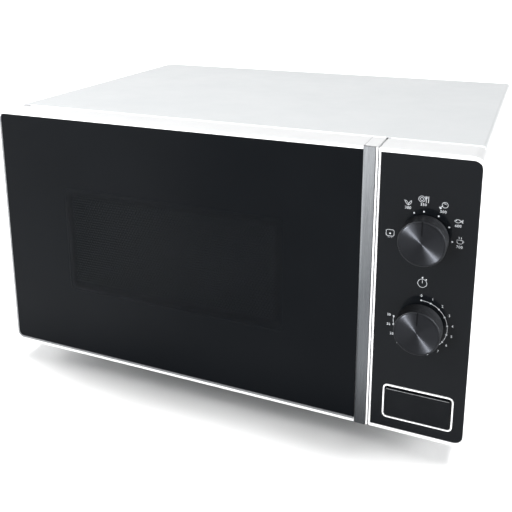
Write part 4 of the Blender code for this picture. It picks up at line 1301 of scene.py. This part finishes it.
def build_lights(floor, dials):
    """A dim room, suns that light only the floor or only the oven, soft boxes round it, and dial lights."""
    world = bpy.data.worlds.new("studio")
    world.use_nodes = True
    background = world.node_tree.nodes["Background"]
    background.inputs["Color"].default_value = (0.97, 0.985, 1.0, 1)
    background.inputs["Strength"].default_value = 0.11
    bpy.context.scene.world = world

    caps, skirts = dials
    for side in (-1, 1):
        soft_sun(f"over_floor_{side}", (0.40 * side, -0.17, -0.90), 2.75, 20, only=[floor])
        soft_sun(f"along_floor_{side}", (0.95 * side, 0, -0.30), 3.2, 26, only=[floor])
    soft_sun("ceiling", (0, 0, -1), 0.95, 170, skip=[floor])
    soft_sun("over_top", (0.30, 0.15, -0.94), 1.4, 50, skip=[floor])
    soft_box("upper_left", (-0.9, -0.9, 1.1), (-0.1, -0.1, 0.26), (0.6, 0.6), 13, skip=[floor])
    soft_box("front_left", (-1.3, -2.3, 0.55), (0, -0.1, 0.12), (0.8, 1.0), 40, skip=[floor])
    soft_box("right_side", (2.6, 0.2, 0.30), (0.2, 0, 0.1), (1.4, 0.5), 15, skip=[floor])

    dial = Vector((middle("power_knob").x, FRONT, 0.155))
    streak = Vector((-0.633, -0.764, 0.124))
    soft_box("dial_streak", dial + streak * 1.5, dial, (0.20, 0.20), 75, only=caps)
    soft_box("dial_glow", dial + streak * 1.4, dial, (1.0, 1.0), 20, only=caps)
    soft_box("dial_rim", dial + Vector((0.9, -0.12, 0.55)), dial, (0.4, 0.4), 130, only=skirts)

    along = Vector((-0.47, -0.88, 0))
    across = Vector((-0.88, 0.47, 0))
    centre = Vector((-0.022, FRONT, 0)) + along * 0.80 + across * 0.45
    above = centre + Vector((0, 0.12, 0.6))
    wash = soft_box("floor_wash", above, above - Vector((0, 0, 1)), (0.9, 1.3), 5, only=[floor])
    wash.data.spread = radians(20)
    turn = Matrix.Rotation(atan2(along.y, along.x) - pi / 2, 4, "Z")
    wash.rotation_quaternion = (Matrix.Rotation(radians(-11), 4, "X") @ turn).to_quaternion()


def build_camera():
    """The camera, in front of the oven, to its right and above it."""
    place, aim = (Vector((0, FRONT, 0)) + Vector(spot) for spot in (CAMERA_PLACE, CAMERA_AIM))
    data = bpy.data.cameras.new("camera")
    data.lens = CAMERA_LENS
    data.sensor_width = 36
    data.shift_x, data.shift_y = CAMERA_SHIFT
    data.clip_start = 0.02
    data.clip_end = 120
    camera = bpy.data.objects.new("camera", data)
    camera.location = place
    camera.rotation_mode = "QUATERNION"
    roll = Matrix.Rotation(CAMERA_ROLL, 4, "Z").to_quaternion()
    camera.rotation_quaternion = (place - aim).to_track_quat("Z", "Y") @ roll
    show(camera)
    bpy.context.scene.camera = camera
    bpy.context.scene.view_settings.view_transform = "Standard"


build_camera()
finish_cad_nodes()
dials = list(zip(build_dial("power"), build_dial("timer")))
build_print()
build_screen()
build_spring()
build_trim_strip()
build_glass_edge()
build_tray()
build_mica()
build_floor_track()
build_side_beads()
build_front_hem()
build_panel_seam()
build_door_seam()
build_button_edge()
build_rear_screws()
build_lights(build_floor(), dials)
